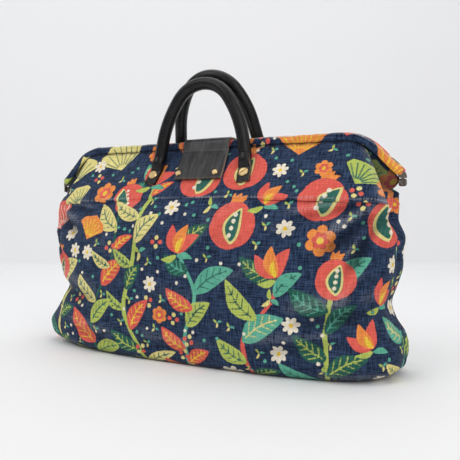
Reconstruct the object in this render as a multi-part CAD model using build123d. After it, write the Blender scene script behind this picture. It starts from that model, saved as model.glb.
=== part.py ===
from build123d import *
import math
import os

# A hinged-frame handbag in printed cloth, closed and standing on its base.
# All sizes are in millimetres: +X along the bag, -Y is the front, +Z is up,
# and the origin is on the floor under the middle of the bag.

# Cloth body
belly_half_depth = 74.8
base_left_half_length = 160.0
base_right_half_length = 186.0
base_half_depth = 58.0
lobe_half_length = 222.0
lobe_height = 25.0
left_waist_half_length = 194.0
right_waist_half_length = 202.0
waist_height = 68.0
upper_half_length = 215.0
upper_half_depth = 66.5
upper_height = 136.0
left_collar_half_length = 220.0
right_collar_half_length = 209.0
collar_half_depth = 51.0
collar_height = 164.0
panel_seam_half_length = 215.0
panel_seam_half_depth = 44.2
panel_seam_height = 174.0
rim_half_length = 207.0
rim_half_depth = 22.0
rim_height = 194.0
base_seam_height = 3.5
gusset_fold_depth = 15.0
gusset_fold_half_width = 9.0
gusset_seam_turn = 42.0
cloth_wall = 1.6
lining_wall = 0.8
base_board_thickness = 3.0
board_inset = 6.0
layer_gap = 0.15
lining_looseness = 1.0

# Hinged steel frame
hinge_height = 188.0
hinge_half_span = 213.0
bar_height = 234.5
bar_corner_radius = 45.0
bar_end_radius = 8.0
bar_width = 3.2
bar_depth = 6.0
bar_bevel = 0.8
casing_width = 7.4
casing_depth = 8.6
casing_bevel = 2.4
casing_hem = 6.0
halves_gap = 0.8
ear_thickness = 1.6
ear_gap = 0.4
ear_radius = 3.9
rivet_radius = 1.5
rivet_running_clearance = 0.06
rivet_head_radius = 3.5
rivet_head_height = 1.5

# Stiffened shoulder panels below the frame
panel_tilt = 35.5
panel_length = 70.0
panel_skin = 1.2
panel_board = 1.8
panel_flat_half_length = 75.0
panel_end_half_length = 205.0
panel_end_half_depth = 27.0
panel_end_drop = 4.0
panel_wing_power = 2.2
panel_end_slant = 26.0
panel_seam_gap = 0.5
board_half_length = 150.0
board_rise_at_ends = 18.0
board_margin = 4.0

# Handles
handle_roll_diameter = 14.0
handle_core_diameter = 8.0
roll_sides = 16
core_sides = 10
roll_end_turns = (0.0, 31.0, 59.0)
handle_bore_clearance = 0.1
handle_half_spacing = 57.0
handle_crown_radius = 38.0
handle_leg_angle = 80.0
handle_crown_angle = 55.0
front_handle_apex = (-18.0, 300.0)
back_handle_apex = (-5.5, 310.5)
foot_width = 14.5
foot_thickness = 4.0
foot_below_screw = 11.0
foot_above_screw = 8.0
foot_turn = 8.0
foot_corner = 1.5
neck_length = 6.0
neck_width = 10.0
neck_flex = 1.3
neck_gap = 0.3

# Screws that clamp the handle feet
screw_distance = 38.5
screw_radius = 2.0
screw_hole_clearance = 0.1
screw_head_radius = 5.3
screw_head_height = 1.9
screw_slot_width = 1.1
screw_slot_depth = 0.8
nut_radius = 4.2
nut_height = 2.6
washer_radius = 6.0
washer_thickness = 0.8

# Closure tab and its press studs
tab_width = 59.0
tab_thickness = 2.4
tab_clearance = 0.6
tab_length = 45.0
tab_corner_radius = 5.0
tab_knee_distance = 6.0
tab_knee_radius = 8.0
stud_half_spacing = 23.2
stud_distance = 38.0
stud_standoff = 2.5
stud_cap_radius = 3.4
stud_cap_height = 1.7
stud_stem_radius = 1.2
stud_post_radius = 1.7
stud_base_radius = 4.0
stud_base_thickness = 0.6
stud_socket_radius = 3.9
stud_socket_bore = 2.3

os.makedirs("parts", exist_ok=True)


def save(name, shape):
    """Writes one sub-part to its own STEP file."""
    export_step(shape, f"parts/{name}.step")
    print(name, round(shape.volume), "mm3")


# Cloth body: a soft tube of rounded sections that swells, narrows and swells again

bag_profile = [
    # height, half length left and right, half depth, squareness left and right, share of the gusset fold
    (0.0, base_left_half_length, base_right_half_length, base_half_depth, 2.9, 3.2, 0.0),
    (base_seam_height, lobe_half_length - 23, lobe_half_length - 15, belly_half_depth - 8.8, 2.9, 3.3, 0.0),
    (11.0, lobe_half_length - 8, lobe_half_length - 4, belly_half_depth - 3.8, 2.9, 3.3, 0.0),
    (lobe_height, lobe_half_length, lobe_half_length, belly_half_depth - 1.8, 2.8, 3.2, 0.13),
    (40.0, lobe_half_length - 10, lobe_half_length - 3, belly_half_depth - 0.6, 2.7, 3.1, 0.13),
    (53.0, left_waist_half_length + 8, right_waist_half_length + 6, belly_half_depth, 2.8, 3.0, 0.13),
    (waist_height, left_waist_half_length, right_waist_half_length, belly_half_depth, 2.8, 3.0, 0.2),
    (85.0, left_waist_half_length + 3, right_waist_half_length + 4, belly_half_depth - 0.8, 2.8, 3.0, 0.2),
    (103.0, upper_half_length - 9, upper_half_length - 4, upper_half_depth + 6.0, 2.8, 2.9, 0.27),
    (120.0, upper_half_length - 3, upper_half_length - 3, upper_half_depth + 4.0, 2.9, 2.9, 0.33),
    (upper_height, upper_half_length, upper_half_length - 1, upper_half_depth, 2.9, 3.0, 0.47),
    (152.0, left_collar_half_length - 2, right_collar_half_length - 2, collar_half_depth + 8.0, 2.6, 2.7, 0.73),
    (collar_height, left_collar_half_length, right_collar_half_length, collar_half_depth, 2.5, 2.6, 0.93),
    (panel_seam_height, panel_seam_half_length + 2, panel_seam_half_length - 4, panel_seam_half_depth,
     2.5, 2.5, 1.0),
    (181.0, rim_half_length + 6, rim_half_length + 6, rim_half_depth + 12, 2.5, 2.5, 0.95),
    (188.0, rim_half_length + 3.5, rim_half_length + 3.5, rim_half_depth + 5, 2.4, 2.4, 0.8),
    (rim_height, rim_half_length, rim_half_length, rim_half_depth, 2.4, 2.4, 0.8),
]
quarter_turns = (1.5, 4.0, 8.0, 14.0, 21.0, 28.0, 35.0, gusset_seam_turn, 49.0, 56.0, 63.0, 70.0, 77.0, 84.0)
rim_overrun = 4.0

cloth_folds = [
    # x and z of both ends, half width and depth of a fold in the front; the back has them mirrored
    (203.0, 160.0, 150.0, 118.0, 9.0, 4.5),
    (203.0, 158.0, 172.0, 96.0, 8.0, 3.6),
    (-200.0, 158.0, -150.0, 132.0, 9.0, 4.0),
    (-198.0, 150.0, -178.0, 96.0, 8.0, 3.4),
    (-196.0, 74.0, -110.0, 58.0, 10.0, 3.2),
    (198.0, 66.0, 120.0, 52.0, 10.0, 3.0),
    (-77.0, 160.0, -40.0, 96.0, 12.0, 2.6),
    (60.0, 156.0, 20.0, 100.0, 12.0, 2.2),
]


def fold_depth(x, y, height):
    """How far the cloth sinks at a point: each fold is a bell across its line and dies out at its ends."""
    sunk = 0.0
    for x0, z0, x1, z1, half_width, depth in cloth_folds:
        if y > 0:
            x0, x1 = -x0, -x1
        reach = math.hypot(x1 - x0, z1 - z0)
        along = ((x - x0) * (x1 - x0) + (height - z0) * (z1 - z0)) / reach
        across = ((x - x0) * (z1 - z0) - (height - z0) * (x1 - x0)) / reach
        past = max(0.0, -along, along - reach)
        sunk += depth * math.exp(-((across / half_width) ** 2) - (past / half_width) ** 2)
    return sunk


section_turns = sorted({0.0, 90.0, 180.0, 270.0}.union(*[(t, 180 - t, 180 + t, 360 - t) for t in quarter_turns]))
section_points = len(section_turns)


def bag_ring(height, left, right, half_depth, square_left, square_right, fold_share):
    """Points of one rounded rectangle of the body, with its folds and the gussets tucked in at both ends."""
    points = []
    for turn in section_turns:
        c, s = math.cos(math.radians(turn)), math.sin(math.radians(turn))
        half_length, squareness = (left, square_left) if c < 0 else (right, square_right)
        x = math.copysign(abs(c) ** (2 / squareness), c) * half_length
        y = math.copysign(abs(s) ** (2 / squareness), s) * half_depth
        depth_share = min(1.0, abs(y) / half_depth * 2)
        y -= math.copysign(fold_depth(x, y, height) * depth_share, y)
        tuck = gusset_fold_depth * fold_share * math.exp(-((y / gusset_fold_half_width) ** 2))
        end_share = max(0.0, abs(x) / half_length - 0.5) * 2
        x -= math.copysign(tuck * end_share, x)
        points.append(Vector(x, y, height))
    return points


def moved_in(inset):
    """The listed rows, each moved in along its own slope so the wall keeps its thickness."""
    top = bag_profile[-1]
    rows = bag_profile + [(top[0] + rim_overrun,) + top[1:]]
    moved = []
    for i, row in enumerate(rows):
        below, above = rows[max(0, i - 1)], rows[min(len(rows) - 1, i + 1)]
        slopes = [(above[k] - below[k]) / (above[0] - below[0]) for k in (1, 2, 3)]
        across = [math.hypot(1, slope) for slope in slopes]
        lift = inset * sum(slope / width for slope, width in zip(slopes, across)) / 3
        left, right, half_depth = (row[k + 1] - inset / across[k] for k in range(3))
        moved.append(bag_ring(row[0] + lift, left, right, half_depth, *row[4:]))
    return moved


def rings_at(inset, heights):
    """Level rings of the surface that lies inset inside the cloth's outer face."""
    rows = moved_in(inset)
    rings = []
    for height in heights:
        k = max(i for i in range(len(rows) - 1) if i == 0 or rows[i][0].Z <= height)
        share = (height - rows[k][0].Z) / (rows[k + 1][0].Z - rows[k][0].Z)
        rings.append([a + (b - a) * share for a, b in zip(rows[k], rows[k + 1])])
    return rings


def flat_pair(a, b, c, d):
    """Two flat triangles that fill a quadrilateral."""
    return [Face(Wire.make_polygon(corners, close=True)) for corners in ([a, b, c], [a, c, d])]


def strip(low, high, columns):
    """The faces between two rings over the given columns."""
    faces = []
    for i in columns:
        j = i + 1
        faces += flat_pair(*[ring[k % section_points] for ring, k in ((low, i), (low, j), (high, j), (high, i))])
    return faces


def cloth_piece(outer, inner, first, last):
    """A piece of cloth between two columns of the rings, closed at its four edges."""
    columns = range(first, last)
    faces = strip(outer[0], inner[0], columns) + strip(outer[-1], inner[-1], columns)
    for rings in (outer, inner):
        for low, high in zip(rings, rings[1:]):
            faces += strip(low, high, columns)
    for i in (first % section_points, last % section_points):
        for k in range(len(outer) - 1):
            faces += flat_pair(outer[k][i], outer[k + 1][i], inner[k + 1][i], inner[k][i])
    return Solid(Shell(faces))


def cloth_bowl(outer, inner):
    """A bowl of cloth with a flat floor, open at the top."""
    columns = range(section_points)
    faces = [Face(Wire.make_polygon(rings[0], close=True)) for rings in (outer, inner)]
    for rings in (outer, inner):
        for low, high in zip(rings, rings[1:]):
            faces += strip(low, high, columns)
    return Solid(Shell(faces + strip(outer[-1], inner[-1], columns)))


heights = [row[0] for row in bag_profile]
outer_rings = rings_at(0.0, heights)
inner_rings = rings_at(cloth_wall, [cloth_wall] + heights[1:])
base_row = heights.index(base_seam_height)
seam_row = heights.index(panel_seam_height)
seam = section_turns.index(gusset_seam_turn)
half_turn = section_points // 2


def body_cloth(first, last, top_row):
    rows = slice(base_row, top_row + 1)
    return cloth_piece(outer_rings[rows], inner_rings[rows], first, last)


lining_inset = cloth_wall + lining_looseness
lining_floor = cloth_wall + base_board_thickness + 2 * layer_gap


def lining():
    """A plain lining that hangs a little inside the cloth, up to the panels' seam."""
    upper = [h for h in heights if lining_floor + lining_wall < h <= panel_seam_height]
    return cloth_bowl(rings_at(lining_inset, [lining_floor] + upper),
                      rings_at(lining_inset + lining_wall, [lining_floor + lining_wall] + upper))


def base_board():
    """A stiff board under the lining, cut to the flat of the base."""
    height, left, right, half_depth, *rest = bag_profile[0]
    edge = bag_ring(height, left - board_inset, right - board_inset, half_depth - board_inset, *rest)
    board = extrude(Face(Wire.make_polygon(edge, close=True)), base_board_thickness, dir=(0, 0, 1))
    return Pos(0, 0, cloth_wall + layer_gap) * board


last_row = len(heights) - 1
save("base_cloth", cloth_bowl(outer_rings[:base_row + 1], inner_rings[:base_row + 1]))
save("back_body_cloth", body_cloth(seam, half_turn - seam, seam_row))
save("front_body_cloth", body_cloth(half_turn + seam, section_points - seam, seam_row))
save("left_gusset", body_cloth(half_turn - seam, half_turn + seam, last_row))
save("right_gusset", body_cloth(-seam, seam, last_row))
save("bag_lining", lining())
save("base_board", base_board())


# Steel frame: each half is one flat bar, bent to a low arch with an ear at each end

half_offset = (halves_gap + casing_width) / 2
bar_end_height = hinge_height + ear_radius + 0.6
ear_inner = hinge_half_span - ear_gap / 2


def frame_path(side, end_height):
    """Centre line of one frame half, from the left end over the top to the right end."""
    y = side * half_offset
    root_half = math.sqrt(0.5)
    leg_foot_x = hinge_half_span - bar_end_radius * (1 - root_half)
    leg_foot_z = bar_end_height + bar_end_radius * root_half
    leg_head_z = bar_height - bar_corner_radius * (1 - root_half)
    leg_head_x = leg_foot_x - (leg_head_z - leg_foot_z)
    flat_half = leg_head_x - bar_corner_radius * root_half
    corner_z = bar_height - bar_corner_radius
    corner_mid = (flat_half + bar_corner_radius * math.sin(math.pi / 8),
                  corner_z + bar_corner_radius * math.cos(math.pi / 8))
    end_centre_x = hinge_half_span - bar_end_radius
    end_mid = (end_centre_x + bar_end_radius * math.cos(math.pi / 8),
               bar_end_height + bar_end_radius * math.sin(math.pi / 8))
    edges = []
    if end_height < leg_foot_z:
        edges.append(ThreePointArc((-hinge_half_span, y, bar_end_height),
                                   (-end_mid[0], y, end_mid[1]), (-leg_foot_x, y, leg_foot_z)))
        start_x, start_z = leg_foot_x, leg_foot_z
    else:
        start_z = end_height
        start_x = leg_foot_x - (end_height - leg_foot_z)
    edges.append(Line((-start_x, y, start_z), (-leg_head_x, y, leg_head_z)))
    edges.append(ThreePointArc((-leg_head_x, y, leg_head_z), (-corner_mid[0], y, corner_mid[1]),
                               (-flat_half, y, bar_height)))
    edges.append(Line((-flat_half, y, bar_height), (flat_half, y, bar_height)))
    edges.append(ThreePointArc((flat_half, y, bar_height), (corner_mid[0], y, corner_mid[1]),
                               (leg_head_x, y, leg_head_z)))
    edges.append(Line((leg_head_x, y, leg_head_z), (start_x, y, start_z)))
    if end_height < leg_foot_z:
        edges.append(ThreePointArc((leg_foot_x, y, leg_foot_z), (end_mid[0], y, end_mid[1]),
                                   (hinge_half_span, y, bar_end_height)))
    return Wire(edges)


def carried(path, width, depth, bevel):
    """A bar of the given section with bevelled corners, carried along the frame's centre line."""
    plane = Plane(origin=path @ 0, x_dir=(0, 1, 0), z_dir=path % 0)
    section = plane * chamfer(Rectangle(width, depth).vertices(), bevel)
    return sweep(section, path=path)


def ear(side, end):
    """The eye at one end of a bar, turned to face along X, with its arm."""
    near = ear_inner - ear_thickness if side > 0 else ear_inner + ear_gap
    middle = end * (near + ear_thickness / 2)
    plane = Plane(origin=(middle, 0, 0), x_dir=(0, 1, 0), z_dir=(1, 0, 0))
    arm_height = bar_end_height - hinge_height + bar_depth
    arm = Pos(side * half_offset, hinge_height + arm_height / 2) * Rectangle(bar_width, arm_height)
    web_width = half_offset + bar_width / 2
    web = Pos(side * web_width / 2, hinge_height) * Rectangle(web_width, 1.5 * ear_radius)
    eye = Pos(0, hinge_height) * Circle(ear_radius)
    hole = Pos(0, hinge_height) * Circle(rivet_radius + rivet_running_clearance)
    flat = plane * (arm + eye + web - hole)
    return extrude(flat, ear_thickness / 2, both=True)


def frame_bar(side):
    path = frame_path(side, bar_end_height)
    bar = carried(path, bar_width, bar_depth, bar_bevel)
    return bar + ear(side, 1) + ear(side, -1)


def frame_casing(side):
    """The cloth tube that is sewn round a bar, open at both legs."""
    path = frame_path(side, bar_end_height + bar_end_radius * math.sqrt(0.5) + casing_hem / 2)
    outside = carried(path, casing_width, casing_depth, casing_bevel)
    inside = carried(path, bar_width + 2 * layer_gap, bar_depth + 2 * layer_gap, bar_bevel)
    return outside - inside


def hinge_rivet(end):
    """A rivet through both ears, with a domed head outside and a flat one inside."""
    inner = ear_inner - ear_thickness - rivet_running_clearance
    outer = ear_inner + ear_gap + ear_thickness + rivet_running_clearance
    shank = Cylinder(rivet_radius, outer - inner, align=(Align.CENTER, Align.CENTER, Align.MIN))
    head = Pos(0, 0, outer - inner) * Cylinder(rivet_head_radius, rivet_head_height,
                                               align=(Align.CENTER, Align.CENTER, Align.MIN))
    head = chamfer(head.faces().sort_by(Axis.Z)[-1].edges(), rivet_head_height / 2)
    tail = Cylinder(rivet_head_radius, rivet_head_height, align=(Align.CENTER, Align.CENTER, Align.MAX))
    place = Plane(origin=(end * inner, 0, hinge_height), x_dir=(0, 1, 0), z_dir=(end, 0, 0))
    return place * (shank + head + tail)


for name, side in (("front", -1), ("back", 1)):
    save(f"{name}_frame_bar", frame_bar(side))
    save(f"{name}_casing", frame_casing(side))
save("left_hinge_rivet", hinge_rivet(-1))
save("right_hinge_rivet", hinge_rivet(1))


# Shoulder panels: cloth over a board, sloping outwards from the casing's seam

tilt = math.radians(panel_tilt)
panel_top = bar_height - casing_depth / 2 - panel_seam_gap
panel_top_y = half_offset + 2.0


def panel_frame(side, distance, x=0.0, outward=0.0, turn=0.0):
    """A plane on a panel's outer face: local x along the bag, y up the slope, z outwards."""
    y = panel_top_y + distance * math.sin(tilt) + outward * math.cos(tilt)
    z = panel_top - distance * math.cos(tilt) + outward * math.sin(tilt)
    plane = Plane(origin=(x, side * y, z), x_dir=(-side, 0, 0),
                  z_dir=(0, side * math.cos(tilt), math.sin(tilt)))
    return Plane(plane.location * Location((0, 0, 0), (0, 0, turn)))


def casing_underside(x):
    """Height of the casing's lower edge at a distance x along the bag."""
    root_half = math.sqrt(0.5)
    leg_sum = (hinge_half_span - bar_end_radius * (1 - root_half)
               + bar_end_height + bar_end_radius * root_half)
    head_z = bar_height - bar_corner_radius * (1 - root_half)
    flat_half = leg_sum - head_z - bar_corner_radius * root_half
    reach = abs(x) - flat_half
    inner_radius = bar_corner_radius - casing_depth / 2
    if reach <= 0:
        return bar_height - casing_depth / 2
    if reach <= inner_radius * root_half:
        return bar_height - bar_corner_radius + math.sqrt(inner_radius ** 2 - reach ** 2)
    return leg_sum - abs(x) - casing_depth * root_half


def panel_section(side, x, skin_from, skin_to):
    """The slice of a panel at x, between two depths below its outer face."""
    run = max(0.0, abs(x) - panel_flat_half_length) / (panel_end_half_length - panel_flat_half_length)
    foot_y = panel_top_y + panel_length * math.sin(tilt)
    foot_y -= (foot_y - panel_end_half_depth) * run ** panel_wing_power
    foot_z = panel_top - panel_length * math.cos(tilt) - panel_end_drop * run
    head_z = casing_underside(x) - panel_seam_gap
    slope = math.atan2(foot_y - panel_top_y, head_z - foot_z)
    corners = []
    for y, z, depth in ((panel_top_y, head_z, skin_from), (foot_y, foot_z, skin_from),
                        (foot_y, foot_z, skin_to), (panel_top_y, head_z, skin_to)):
        corners.append((x, side * (y - depth * math.cos(slope)), z - depth * math.sin(slope)))
    return Wire.make_polygon([Vector(*corner) for corner in corners], close=True)


def panel_band(side, skin_from, skin_to):
    """A panel layer as a loft through slices along the bag, flat in its middle."""
    bends = 5
    span = panel_end_half_length - panel_flat_half_length
    wing = [panel_flat_half_length + span * i / bends for i in range(bends + 1)]
    middle = Solid.make_loft([panel_section(side, x, skin_from, skin_to)
                              for x in (-panel_flat_half_length, panel_flat_half_length)], ruled=True)
    band = middle
    for end in (-1, 1):
        band += Solid.make_loft([panel_section(side, end * x, skin_from, skin_to) for x in wing],
                                ruled=True)
    return band


def panel_outline():
    """The panel seen from the front: its ends slant outwards below the frame's corners."""
    head_x = panel_end_half_length - panel_end_slant
    head_z = casing_underside(head_x) - 1.0
    foot_z = panel_top - panel_length
    outline = Polyline((-panel_end_half_length, foot_z), (-head_x, head_z), (-head_x, bar_height),
                       (head_x, bar_height), (head_x, head_z), (panel_end_half_length, foot_z),
                       close=True)
    return extrude(Plane.XZ * make_face(outline), 2 * belly_half_depth, both=True)


def clearance_holes(side, radius, places, depth):
    holes = []
    for x, distance in places:
        plane = panel_frame(side, distance, x)
        holes.append(plane * Pos(0, 0, -depth / 2 + 1) * Cylinder(radius, depth + 2))
    return holes


screw_places = [(-handle_half_spacing, screw_distance), (handle_half_spacing, screw_distance)]
stud_places = [(-stud_half_spacing, stud_distance), (stud_half_spacing, stud_distance)]
screw_hole_radius = screw_radius + screw_hole_clearance
panel_depth = panel_skin + layer_gap + panel_board


def shoulder(side):
    """The outer cloth of a panel."""
    skin = panel_band(side, 0.0, panel_skin) & panel_outline()
    for hole in clearance_holes(side, screw_hole_radius, screw_places, panel_depth):
        skin -= hole
    if side < 0:
        for hole in clearance_holes(side, stud_stem_radius + screw_hole_clearance, stud_places, panel_depth):
            skin -= hole
    return skin


def stiffener(side):
    """The board behind the cloth, a half moon that is deepest in its middle."""
    board = panel_band(side, panel_skin + layer_gap, panel_depth)
    foot = panel_top - (panel_length - board_margin) * math.cos(tilt)
    moon = make_face(
        Polyline((-board_half_length, foot + board_rise_at_ends), (-board_half_length, bar_height),
                 (board_half_length, bar_height), (board_half_length, foot + board_rise_at_ends)).edges()
        + [ThreePointArc((board_half_length, foot + board_rise_at_ends), (0, foot),
                         (-board_half_length, foot + board_rise_at_ends))])
    board &= extrude(Plane.XZ * moon, 2 * belly_half_depth, both=True)
    for hole in clearance_holes(side, screw_hole_radius, screw_places, panel_depth):
        board -= hole
    if side < 0:
        for hole in clearance_holes(side, stud_stem_radius + screw_hole_clearance, stud_places, panel_depth):
            board -= hole
    return board


for name, side in (("front", -1), ("back", 1)):
    save(f"{name}_shoulder", shoulder(side))
    save(f"{name}_stiffener", stiffener(side))


# Handles: a rolled leather grip on each panel, with flat feet under slotted screws

roll_radius = handle_roll_diameter / 2
pivot_rise = foot_above_screw + neck_length + neck_flex + roll_radius
pivot_lift = roll_radius + neck_gap


def foot_frame(side, end):
    """The plane of one handle foot, with its screw at the origin; it turns inwards."""
    return panel_frame(side, screw_distance, end * handle_half_spacing, layer_gap,
                       -side * end * foot_turn)


def foot(side, end):
    """A flat leather end, cut square below its screw and narrowed to a low neck above it."""
    half, neck_half, below = foot_width / 2, neck_width / 2, -foot_below_screw
    neck_end = foot_above_screw + neck_length
    outline = Polyline((-half, foot_above_screw), (-half, below + foot_corner), (-half + foot_corner, below),
                       (half - foot_corner, below), (half, below + foot_corner), (half, foot_above_screw),
                       (neck_half, neck_end), (-neck_half, neck_end), close=True)
    pad = extrude(make_face(outline), foot_thickness)
    hole = Cylinder(screw_hole_radius, 4 * foot_thickness)
    return foot_frame(side, end) * (pad - hole)


def pivot_point(side, end):
    """Where a handle flexes, just above its foot."""
    return foot_frame(side, end).from_local_coords(Vector(0, pivot_rise, pivot_lift))


def arch_path(side, apex):
    """Centre line of a handle: straight legs, long side curves and a tighter crown."""
    pivot = pivot_point(side, 1)
    rise = math.hypot(apex[0] - pivot.Y, apex[1] - pivot.Z)
    plane = Plane(origin=(0, pivot.Y, pivot.Z), x_dir=(1, 0, 0),
                  z_dir=(0, -(apex[1] - pivot.Z), apex[0] - pivot.Y))
    crown = math.radians(handle_crown_angle)
    leg = math.radians(handle_leg_angle)
    crown_x = handle_crown_radius * math.sin(crown)
    crown_drop = handle_crown_radius * (1 - math.cos(crown))
    side_radius = (pivot.X - crown_x - (rise - crown_drop) / math.tan(leg)) / (
        math.sin(leg) - math.sin(crown) - (math.cos(crown) - math.cos(leg)) / math.tan(leg))
    crown_z = rise - handle_crown_radius
    side_x = crown_x - side_radius * math.sin(crown)
    side_z = crown_z + (handle_crown_radius - side_radius) * math.cos(crown)
    mid = (crown + leg) / 2
    mid_point = (side_x + side_radius * math.sin(mid), side_z + side_radius * math.cos(mid))
    low_point = (side_x + side_radius * math.sin(leg), side_z + side_radius * math.cos(leg))
    high_point = (crown_x, crown_z + handle_crown_radius * math.cos(crown))
    line = [Line((-pivot.X, 0), (-low_point[0], low_point[1])),
            ThreePointArc((-low_point[0], low_point[1]), (-mid_point[0], mid_point[1]),
                          (-high_point[0], high_point[1])),
            ThreePointArc((-high_point[0], high_point[1]), (0, rise), high_point),
            ThreePointArc(high_point, mid_point, low_point),
            Line(low_point, (pivot.X, 0))]
    return plane * Wire(line)


def roll_plane(side, apex, path):
    """The plane across a roll at its left end, turned square to the arch."""
    pivot = pivot_point(side, 1)
    return Plane(origin=path @ 0, x_dir=(0, -(apex[1] - pivot.Z), apex[0] - pivot.Y), z_dir=path % 0)


def rolled(side, apex, radius, sides):
    path = arch_path(side, apex)
    return sweep(roll_plane(side, apex, path) * RegularPolygon(radius, sides), path=path)


def handle_cover(side, apex):
    """The leather roll, with rounded ends that turn in front of the feet."""
    plane = roll_plane(side, apex, arch_path(side, apex))
    turns = [math.radians(turn) for turn in roll_end_turns]
    end = loft([plane.offset(-roll_radius * math.sin(turn)) * RegularPolygon(roll_radius * math.cos(turn), roll_sides)
                for turn in turns], ruled=True)
    bore = rolled(side, apex, handle_core_diameter / 2 + handle_bore_clearance, core_sides)
    return rolled(side, apex, roll_radius, roll_sides) + end + mirror(end, about=Plane.YZ) - bore


def handle_core(side, apex):
    return rolled(side, apex, handle_core_diameter / 2, core_sides)


def screw(side, end):
    """A slotted screw through foot, cloth, board and washer."""
    seat = foot_thickness + 0.02
    reach = layer_gap + panel_depth + 0.02 + washer_thickness + 0.02 + nut_height + 0.8
    head = Pos(0, 0, seat) * Cylinder(screw_head_radius, screw_head_height,
                                      align=(Align.CENTER, Align.CENTER, Align.MIN))
    head = chamfer(head.faces().sort_by(Axis.Z)[-1].edges(), screw_head_height / 2)
    slot = Pos(0, 0, seat + screw_head_height) * Box(3 * screw_head_radius, screw_slot_width,
                                                     2 * screw_slot_depth)
    shank = Pos(0, 0, -reach) * Cylinder(screw_radius, reach + seat,
                                         align=(Align.CENTER, Align.CENTER, Align.MIN))
    return foot_frame(side, end) * (head + shank - Rot(0, 0, 35 * end) * slot)


def washer(side, end):
    inner = layer_gap + panel_depth + 0.02
    ring = Cylinder(washer_radius, washer_thickness) - Cylinder(screw_hole_radius, 2 * washer_thickness)
    return foot_frame(side, end) * Pos(0, 0, -inner - washer_thickness / 2) * ring


def nut(side, end):
    inner = layer_gap + panel_depth + washer_thickness + 0.04
    block = extrude(RegularPolygon(nut_radius, 6), nut_height)
    block -= Cylinder(screw_radius + 0.02, 4 * nut_height)
    return foot_frame(side, end) * Pos(0, 0, -inner - nut_height) * block


for name, side, apex in (("front", -1, front_handle_apex), ("back", 1, back_handle_apex)):
    save(f"{name}_handle_feet", Compound([foot(side, -1), foot(side, 1)]))
    save(f"{name}_handle_cover", handle_cover(side, apex))
    save(f"{name}_handle_core", handle_core(side, apex))
    save(f"{name}_washers", Compound([washer(side, -1), washer(side, 1)]))
    for hand, end in (("left", -1), ("right", 1)):
        save(f"{name}_{hand}_screw", screw(side, end))
        save(f"{name}_{hand}_nut", nut(side, end))


# Closure tab: a leather strap from the back casing over the top to the front panel

casing_outside = half_offset + casing_width / 2
tab_inner = casing_outside + tab_clearance
tab_under = bar_height + casing_depth / 2 + tab_clearance
tab_root_height = bar_height - casing_depth / 2 + 0.6


def panel_side_point(distance, outward):
    """A point off the front panel in side view."""
    plane = panel_frame(-1, distance, 0.0, outward)
    return (plane.origin.Y, plane.origin.Z)


def tab_profile():
    """The strap in side view, at its inner face."""
    return FilletPolyline((tab_inner, tab_root_height), (tab_inner, tab_under), (-tab_inner, tab_under),
                          panel_side_point(tab_knee_distance, stud_standoff),
                          panel_side_point(tab_length, stud_standoff),
                          radius=[tab_corner_radius, tab_corner_radius, tab_knee_radius])


def closure_tab():
    line = tab_profile()
    strap = trace_band(line)
    outline = Plane.YZ * strap
    tab = extrude(outline, tab_width / 2, both=True)
    for hole in stud_axes(stud_stem_radius + 0.05):
        tab -= hole
    return tab


def trace_band(line):
    """The strap's side view as a face: the inner line and its offset outwards."""
    outer = line.offset_2d(tab_thickness, side=Side.RIGHT, closed=True)
    return make_face(outer)


def stud_plane(x, outward):
    return panel_frame(-1, stud_distance, x, outward)


def stud_axes(radius):
    return [stud_plane(x, stud_standoff) * Cylinder(radius, 6 * tab_thickness) for x, _ in stud_places]


def stud_cap(x):
    """A domed cap whose stem passes through the strap."""
    cap = Cylinder(stud_cap_radius, stud_cap_height, align=(Align.CENTER, Align.CENTER, Align.MIN))
    cap = chamfer(cap.faces().sort_by(Axis.Z)[-1].edges(), stud_cap_height / 2)
    stem = Cylinder(stud_stem_radius, tab_thickness + 0.4, align=(Align.CENTER, Align.CENTER, Align.MAX))
    return stud_plane(x, stud_standoff + tab_thickness + 0.1) * (cap + stem)


def stud_socket(x):
    """The spring ring under the strap."""
    height = stud_standoff - stud_base_thickness - 0.4
    ring = Cylinder(stud_socket_radius, height, align=(Align.CENTER, Align.CENTER, Align.MAX))
    ring -= Pos(0, 0, -0.5) * Cylinder(stud_socket_bore, height, align=(Align.CENTER, Align.CENTER, Align.MAX))
    ring -= Cylinder(stud_stem_radius + 0.02, 1.2)
    return stud_plane(x, stud_standoff - 0.05) * ring


def stud_post(x):
    """The male half on the front panel, riveted through cloth and board."""
    base = Cylinder(stud_base_radius, stud_base_thickness, align=(Align.CENTER, Align.CENTER, Align.MIN))
    post = Cylinder(stud_post_radius, stud_base_thickness + 1.3, align=(Align.CENTER, Align.CENTER, Align.MIN))
    post = chamfer(post.faces().sort_by(Axis.Z)[-1].edges(), 0.5)
    stem = Pos(0, 0, 0.1) * Cylinder(stud_stem_radius, panel_depth + 0.2,
                                     align=(Align.CENTER, Align.CENTER, Align.MAX))
    tail = Pos(0, 0, -panel_depth - 0.1) * Cylinder(stud_base_radius, stud_base_thickness,
                                                    align=(Align.CENTER, Align.CENTER, Align.MAX))
    return stud_plane(x, 0.05) * (base + post + stem + tail)


save("closure_tab", closure_tab())
for hand, x in (("left", -stud_half_spacing), ("right", stud_half_spacing)):
    save(f"{hand}_stud_cap", stud_cap(x))
    save(f"{hand}_stud_socket", stud_socket(x))
    save(f"{hand}_stud_post", stud_post(x))
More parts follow.
